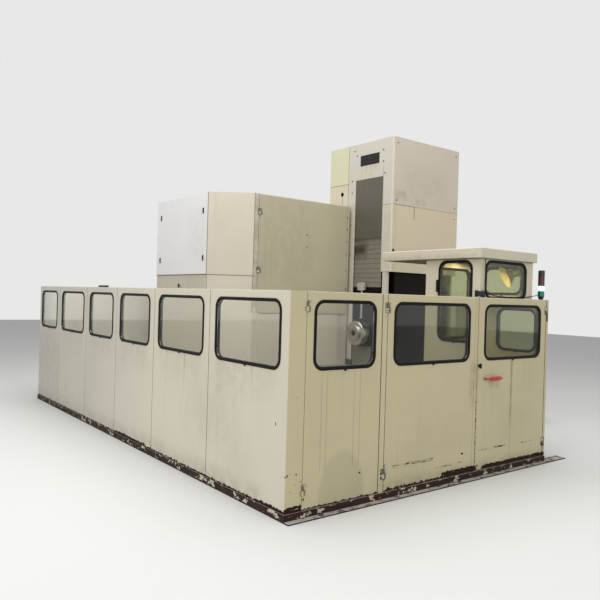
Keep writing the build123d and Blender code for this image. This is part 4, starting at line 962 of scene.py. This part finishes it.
def islands(node):
    """Boxes of the separate shells of a CAD node."""
    shell = bmesh.new()
    shell.from_mesh(nodes[node].data)
    bmesh.ops.remove_doubles(shell, verts=shell.verts, dist=SAME_POINT)
    left = set(shell.verts)
    boxes = []
    while left:
        wave = [left.pop()]
        found = []
        while wave:
            vertex = wave.pop()
            found.append(vertex.co.copy())
            near = {edge.other_vert(vertex) for edge in vertex.link_edges} & left
            left -= near
            wave.extend(near)
        low = Vector([min(point[i] for point in found) for i in range(3)])
        high = Vector([max(point[i] for point in found) for i in range(3)])
        boxes.append((low, high))
    shell.free()
    return sorted(boxes, key=lambda box: tuple(box[0]))


# %% Parts of a rim
SEAM_HALF = 0.013
SEAM_HEIGHT = 0.038
SEAM_RISE = 0.008
SEAM_EDGE = 0.0022


def ring(low, high, inset_out, inset_in, start, depth, edge):
    """Ring of rubber in an upright plane: between two insets, from a start behind the low side."""
    size = high - low
    along_x = size.x > size.y
    middle = (low + high) / 2
    if along_x:
        place, turn = (middle.x, low.y + start, middle.z), (math.pi / 2, 0, 0)
    else:
        place, turn = (low.x + start, middle.y, middle.z), (math.pi / 2, 0, -math.pi / 2)
    width = (size.x if along_x else size.y) - 2 * inset_out
    height = size.z - 2 * inset_out
    bpy.ops.object.select_all(action="DESELECT")
    bpy.ops.mesh.primitive_plane_add(size=1, location=place, rotation=turn)
    bpy.context.object.scale = (width, height, 1)
    piece = settle("rim")
    bpy.ops.object.mode_set(mode="EDIT")
    bpy.ops.mesh.select_all(action="SELECT")
    bpy.ops.mesh.bevel(offset=RIM_RADIUS - inset_out, segments=ARC_STEPS, affect="VERTICES")
    bpy.ops.mesh.select_all(action="SELECT")
    bpy.ops.mesh.inset(thickness=inset_in - inset_out)
    bpy.ops.mesh.delete(type="FACE")
    bpy.ops.object.mode_set(mode="OBJECT")
    add_modifier(piece, "SOLIDIFY", thickness=depth, offset=-1)
    soften(piece, edge, 3)
    return piece


def joint_block(low, high):
    """Small block where the two ends of the profile meet, at the middle of the lower side."""
    middle = (low + high) / 2
    height = low.z + SEAM_RISE
    if high.x - low.x > high.y - low.y:
        place = (middle.x, low.y + RIM_PROUD / 2, height)
        size = (2 * SEAM_HALF, RIM_PROUD, SEAM_HEIGHT)
    else:
        place = (low.x + RIM_PROUD / 2, middle.y, height)
        size = (RIM_PROUD, 2 * SEAM_HALF, SEAM_HEIGHT)
    piece = block("joint block", place, size)
    add_modifier(piece, "BEVEL", width=SEAM_EDGE, segments=2)
    return piece


# %% All rims
def rubber_rims(name, node, body):
    """All rims of one CAD node of seals."""
    parts = []
    boxes = islands(node) if node == "wall_seals" else [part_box(node)]
    for low, high in boxes:
        parts.append(ring(low, high, 0.0, RIM_FACE, 0.0, RIM_BEAD, BEAD_EDGE))
        parts.append(ring(low, high, RIM_LAP, RIM_FACE, RIM_BEAD, RIM_CORE, CORE_EDGE))
        parts.append(joint_block(low, high))
    piece = join(name, parts, rubber, body)
    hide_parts(node)


rubber_rims("window_rims", "wall_seals", "machine_frame")
rubber_rims("door_1_rim", "door_1_seal", "first_door")
rubber_rims("door_2_rim", "door_2_seal", "second_door")
rubber_rims("door_3_rim", "door_3_seal", "third_door")

# %% [markdown]
# ## Small fittings
# Quarter-turn fasteners, a latch, a bare plate, a window pull and a switch on the wall's top are
# all a block with softened edges and a sunk face. A modifier rounds the edges, and in edit mode
# the side that one sees is inset and pushed in.

# %% Blocks with a sunk face
OUT_LEFT = Vector((-1, 0, 0))
OUT_FRONT = Vector((0, -1, 0))
UP = Vector((0, 0, 1))
SAME_WAY = 0.99


def sink_face(piece, facing, rim, depth):
    """Inset the largest face that looks along facing, and push it in."""
    bpy.ops.object.mode_set(mode="EDIT")
    bpy.ops.mesh.select_mode(type="FACE")
    bpy.ops.mesh.select_all(action="DESELECT")
    shape = bmesh.from_edit_mesh(piece.data)
    seen = [face for face in shape.faces if face.normal.dot(facing) > SAME_WAY]
    max(seen, key=lambda face: face.calc_area()).select_set(True)
    bmesh.update_edit_mesh(piece.data)
    bpy.ops.mesh.inset(thickness=rim)
    bpy.ops.transform.translate(value=-facing * depth)
    bpy.ops.object.mode_set(mode="OBJECT")


def fitting(name, low, high, facing, edge=0.004, rim=0.006, sink=0.002, material=black):
    """Block on the frame between two corners, with rounded edges and a sunk face."""
    low, high = Vector(low), Vector(high)
    piece = block(name, (low + high) / 2, high - low)
    add_modifier(piece, "BEVEL", width=edge, segments=3)
    sink_face(piece, facing, rim, sink)
    join(name, [piece], material, "machine_frame")


# %% Fasteners, latch, plate and switch
FASTENERS = [(4.432, 2.987), (5.841, 2.981), (4.409, 2.286), (5.852, 2.285)]
FASTENER_BACK, FASTENER_FACE = 1.6555, 1.6475
HALF_WIDE, HALF_HIGH = 0.019, 0.041
for number, (y, z) in enumerate(FASTENERS, 1):
    low = (FASTENER_FACE, y - HALF_WIDE, z - HALF_HIGH)
    high = (FASTENER_BACK, y + HALF_WIDE, z + HALF_HIGH)
    fitting(f"panel_fastener_{number}", low, high, OUT_LEFT, edge=0.0035, sink=0.0015)
fitting("skirt_latch", (1.650, 5.152, 1.850), (1.663, 5.182, 1.900), OUT_LEFT)
fitting("wall_top_switch", (0.004, 3.861, 1.800), (0.036, 4.140, 1.824), UP)
plate_metal = plain("dark plate", (0.085, 0.070, 0.050, 1), 0.45, metallic=0.3)
thin = {"edge": 0.0007, "rim": 0.003, "sink": 0.0004, "material": plate_metal}
fitting("post_plate", (3.553, -0.002, 1.560), (3.583, 0.0005, 1.660), OUT_FRONT, **thin)
fitting("booth_window_pull", (2.412, 0.602, 1.850), (2.431, 0.622, 1.980), OUT_LEFT, rim=0.004)

# %% [markdown]
# Screws hold the column's sheets and the magazine's door. One screw is a short cylinder with a
# rounded edge and a sunk face, and every other screw of the same row is a copy of it.

# %% One screw and its copies
SCREW_RADIUS = 0.011
SCREW_HEIGHT = 0.005
SCREW_SIDES = 14
SCREW_ROUNDING = 0.36
SCREW_RIM = 0.4
SCREW_SINK = 0.4
screw_metal = plain("tarnished screw", (0.09, 0.075, 0.055, 1), 0.45, metallic=0.6)


def screws(
    name,
    places,
    body,
    facing=OUT_FRONT,
    material=screw_metal,
    radius=SCREW_RADIUS,
    height=SCREW_HEIGHT,
):
    """Copies of one pan-headed screw at places on a face that looks along facing."""
    bpy.ops.object.select_all(action="DESELECT")
    bpy.ops.mesh.primitive_cylinder_add(vertices=SCREW_SIDES, radius=radius, depth=height)
    first = settle("screw")
    soften(first, height * SCREW_ROUNDING, 2)
    sink_face(first, UP, radius * SCREW_RIM, height * SCREW_SINK)
    turned = facing.to_track_quat("Z", "Y").to_matrix().to_4x4()
    copies = []
    for spot in places:
        copy = first.copy()
        copy.data = first.data.copy()
        copy.data.transform(Matrix.Translation(Vector(spot) + facing * height / 2) @ turned)
        bpy.context.scene.collection.objects.link(copy)
        copies.append(copy)
    bpy.data.objects.remove(first)
    join(name, copies, material, body)


# %% Screws of the sheets
COVER_X, COVER_Y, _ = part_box("column_cover")[0]
DOOR_FACE = 3.830
COLUMN_FRONT_SPOTS = [(3.744, 4.068), (3.148, 4.077), (3.140, 3.896), (3.100, 3.710)]
COLUMN_FRONT_SPOTS += [(3.846, 3.665), (3.838, 3.477), (3.80, 4.15), (3.85, 2.95), (3.85, 2.45)]
COLUMN_SIDE_SPOTS = [(4.16, 4.16), (5.54, 4.16), (5.54, 3.30), (4.16, 3.28)]
COLUMN_SIDE_SPOTS += [(5.54, 3.12), (5.54, 1.20), (4.16, 1.20)]
DOOR_SPOTS = [(3.143, 2.712), (3.150, 2.527)]
DOOR_SPOTS += [(3.968, z) for z in (3.06, 2.87, 2.67, 2.46, 2.20, 1.90)]
PLUG = {"material": black, "radius": 0.021, "height": 0.006}

front_spots = [(COVER_X, y, z) for y, z in COLUMN_FRONT_SPOTS]
screws("column_front_screws", front_spots, "column_group", OUT_LEFT)
screws("column_side_screws", [(x, COVER_Y, z) for x, z in COLUMN_SIDE_SPOTS], "column_group")
screws("magazine_door_screws", [(x, DOOR_FACE, z) for x, z in DOOR_SPOTS], "cabinet_door")
screws("column_plug", [(4.117, COVER_Y, 2.511)], "column_group", **PLUG)

# %% [markdown]
# Each hinge has a lower leaf on the frame and an upper leaf on its door, with two screws in each.
# The upper screws swing with the door, so the two leaves' screws are separate pieces.

# %% Screws of the hinge leaves
LEAF_THICKNESS = 0.003
LEAF_SCREW = {"radius": 0.005, "height": 0.002}
LEAF_REACH = 0.018
LEAF_ROWS = (0.010, 0.029)
LEAF_STEP = 0.038


def leaf_spots(axis_x, face_y, bottoms, side, upper):
    """Places of the screws in one leaf of each hinge of a door."""
    offset = LEAF_STEP if upper else 0.0
    x, y = axis_x + side * LEAF_REACH, face_y - LEAF_THICKNESS
    return [(x, y, bottom + offset + row) for bottom in bottoms for row in LEAF_ROWS]


frame_spots = []
for body, (axis_x, side) in DOOR_HINGES.items():
    frame_spots += leaf_spots(axis_x, 0.0, GUARD_HINGES, -side, False)
    spots = leaf_spots(axis_x, 0.0, GUARD_HINGES, side, True)
    screws(f"{body}_hinge_screws", spots, body, **LEAF_SCREW)
frame_spots += leaf_spots(CABINET_HINGE_X, DOOR_FACE, CABINET_HINGES, -1, False)
screws("frame_hinge_screws", frame_spots, "machine_frame", **LEAF_SCREW)
spots = leaf_spots(CABINET_HINGE_X, DOOR_FACE, CABINET_HINGES, 1, True)
screws("cabinet_door_hinge_screws", spots, "cabinet_door", **LEAF_SCREW)

# %% [markdown]
# The red handle of door 3 has a thicker grip over its bar: a short, flattened cylinder with
# softened ends, taller than it is deep.

# %% Grip
GRIP_RADIUS = 0.0125
GRIP_LENGTH = 0.16
GRIP_STEPS = 28
GRIP_TALLER = 1.7
GRIP_EDGE = 0.004
BAR_AXIS = 0.009

bar_low, bar_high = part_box("door_handle")
bpy.ops.object.select_all(action="DESELECT")
bpy.ops.mesh.primitive_cylinder_add(
    vertices=GRIP_STEPS,
    radius=GRIP_RADIUS,
    depth=GRIP_LENGTH,
    location=((bar_low.x + bar_high.x) / 2, bar_low.y + BAR_AXIS, (bar_low.z + bar_high.z) / 2),
    rotation=(0, math.pi / 2, 0),
)
bpy.context.object.scale = (GRIP_TALLER, 1, 1)
grip = settle("handle_grip")
soften(grip, GRIP_EDGE, 3)
join("handle_grip", [grip], red, "third_door")

# %% [markdown]
# ## The signal tower's cable
# A thin black cable leaves the booth's roof, drops behind the door switch and hangs along the top
# of the doors to the signal tower. It is one smooth curve led by a given route, so that it sags
# the way a held cable does.

# %% Hang the cable
CABLE_DIAMETER = 0.008
CABLE_ROUTE = [
    (2.497, 0.049, 2.199),
    (2.493, 0.047, 2.100),
    (2.488, 0.045, 1.995),
    (2.486, 0.044, 1.905),
    (2.508, 0.043, 1.852),
    (2.575, 0.042, 1.830),
    (2.690, 0.041, 1.819),
    (2.830, 0.041, 1.814),
    (2.980, 0.042, 1.813),
    (3.130, 0.044, 1.816),
    (3.270, 0.049, 1.823),
    (3.395, 0.058, 1.836),
    (3.480, 0.069, 1.852),
    (3.531, 0.077, 1.868),
]
ROUND_STEPS, RUN_STEPS = 4, 8


def smooth_curve(name, points, radius):
    """Round curve of one smooth spline whose control points are the route."""
    data = bpy.data.curves.new(name, "CURVE")
    data.dimensions = "3D"
    data.bevel_depth = radius
    data.bevel_resolution = ROUND_STEPS
    data.resolution_u = RUN_STEPS
    data.use_fill_caps = True
    spline = data.splines.new("NURBS")
    spline.points.add(len(points) - 1)
    for point, place in zip(spline.points, points):
        point.co = (*place, 1)
    spline.order_u = 3
    spline.use_endpoint_u = True
    piece = bpy.data.objects.new(name, data)
    bpy.context.scene.collection.objects.link(piece)
    return piece


cable = smooth_curve("signal_cable", CABLE_ROUTE, CABLE_DIAMETER / 2)
cable.data.materials.append(rubber)
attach(cable, "machine_frame")
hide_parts("tower_cable")

# %% [markdown]
# ## Floor and light
# A plain pale floor keeps the machine's shadow and its bounced light. The light is that of a hall:
# even from above, with one broad soft lamp from the side that the left wall faces. Inside the booth
# burns a small warm lamp.

# %% Floor
FLOOR_SIZE = 60
FLOOR_MIDDLE = (2, 4, -0.001)
PALE_FLOOR = (0.60, 0.60, 0.58, 1)

bpy.ops.object.select_all(action="DESELECT")
bpy.ops.mesh.primitive_plane_add(size=FLOOR_SIZE, location=FLOOR_MIDDLE)
floor = bpy.context.object
floor.name = "floor"
floor_material, floor_shader = new_material("pale floor")
feed(floor_material.node_tree, floor_shader, {"Base Color": PALE_FLOOR, "Roughness": 0.75})
floor.data.materials.append(floor_material)

# %% Sky
SKY_COLOR, SKY_STRENGTH = (0.96, 0.98, 1.0, 1), 0.50
BACKDROP_COLOR, BACKDROP_STRENGTH = (0.80, 0.81, 0.80, 1), 1.0
SEEN_RAYS = ("Is Camera Ray", "Is Transmission Ray", "Is Glossy Ray")

world = bpy.data.worlds.new("world")
bpy.context.scene.world = world
world.use_nodes = True
sky = world.node_tree
sky_light = sky.nodes["Background"]
feed(sky, sky_light, {"Color": SKY_COLOR, "Strength": SKY_STRENGTH})
shown = {"Color": BACKDROP_COLOR, "Strength": BACKDROP_STRENGTH}
backdrop = put(sky, "ShaderNodeBackground", None, **shown)
light_path = put(sky, "ShaderNodeLightPath")
seen = joined(sky, [light_path.outputs[kind] for kind in SEEN_RAYS])
ends = {"i0": seen, "i1": sky_light.outputs[0], "i2": backdrop.outputs[0]}
sky_blend = put(sky, "ShaderNodeMixShader", None, **ends)
feed(sky, sky.nodes["World Output"], {"Surface": sky_blend.outputs[0]})
print("sky:", len(sky.nodes), "nodes")

# %% Lamps
WARM = (1.0, 0.90, 0.58)


def soft_lamp(name, place, target, size, watts, color=(1, 1, 1)):
    """Square area lamp that looks at a point."""
    data = bpy.data.lights.new(name, "AREA")
    data.size = size
    data.energy = watts
    data.color = color
    lamp = bpy.data.objects.new(name, data)
    bpy.context.scene.collection.objects.link(lamp)
    lamp.location = place
    lamp.rotation_euler = (Vector(target) - Vector(place)).to_track_quat("-Z", "Y").to_euler()
    return lamp


soft_lamp("hall ceiling", (1.0, 2.0, 9.0), (2.5, 3.0, 0), size=9.0, watts=820)
soft_lamp("side light", (-8.0, 0.0, 5.0), (1.0, 3.0, 1.2), size=5.0, watts=360)
soft_lamp("front light", (1.0, -8.0, 4.5), (2.0, 0.5, 1.2), size=5.0, watts=215)
booth_lamp = soft_lamp(
    "booth light", (2.95, 0.45, 2.17), (2.85, 0.5, 1.4), size=0.35, watts=8, color=WARM
)
booth_lamp.visible_camera = False
booth_lamp.visible_transmission = False
booth_lamp.visible_glossy = False
bpy.context.scene.view_settings.view_transform = "Standard"
print("lamps:", len(bpy.data.lights))
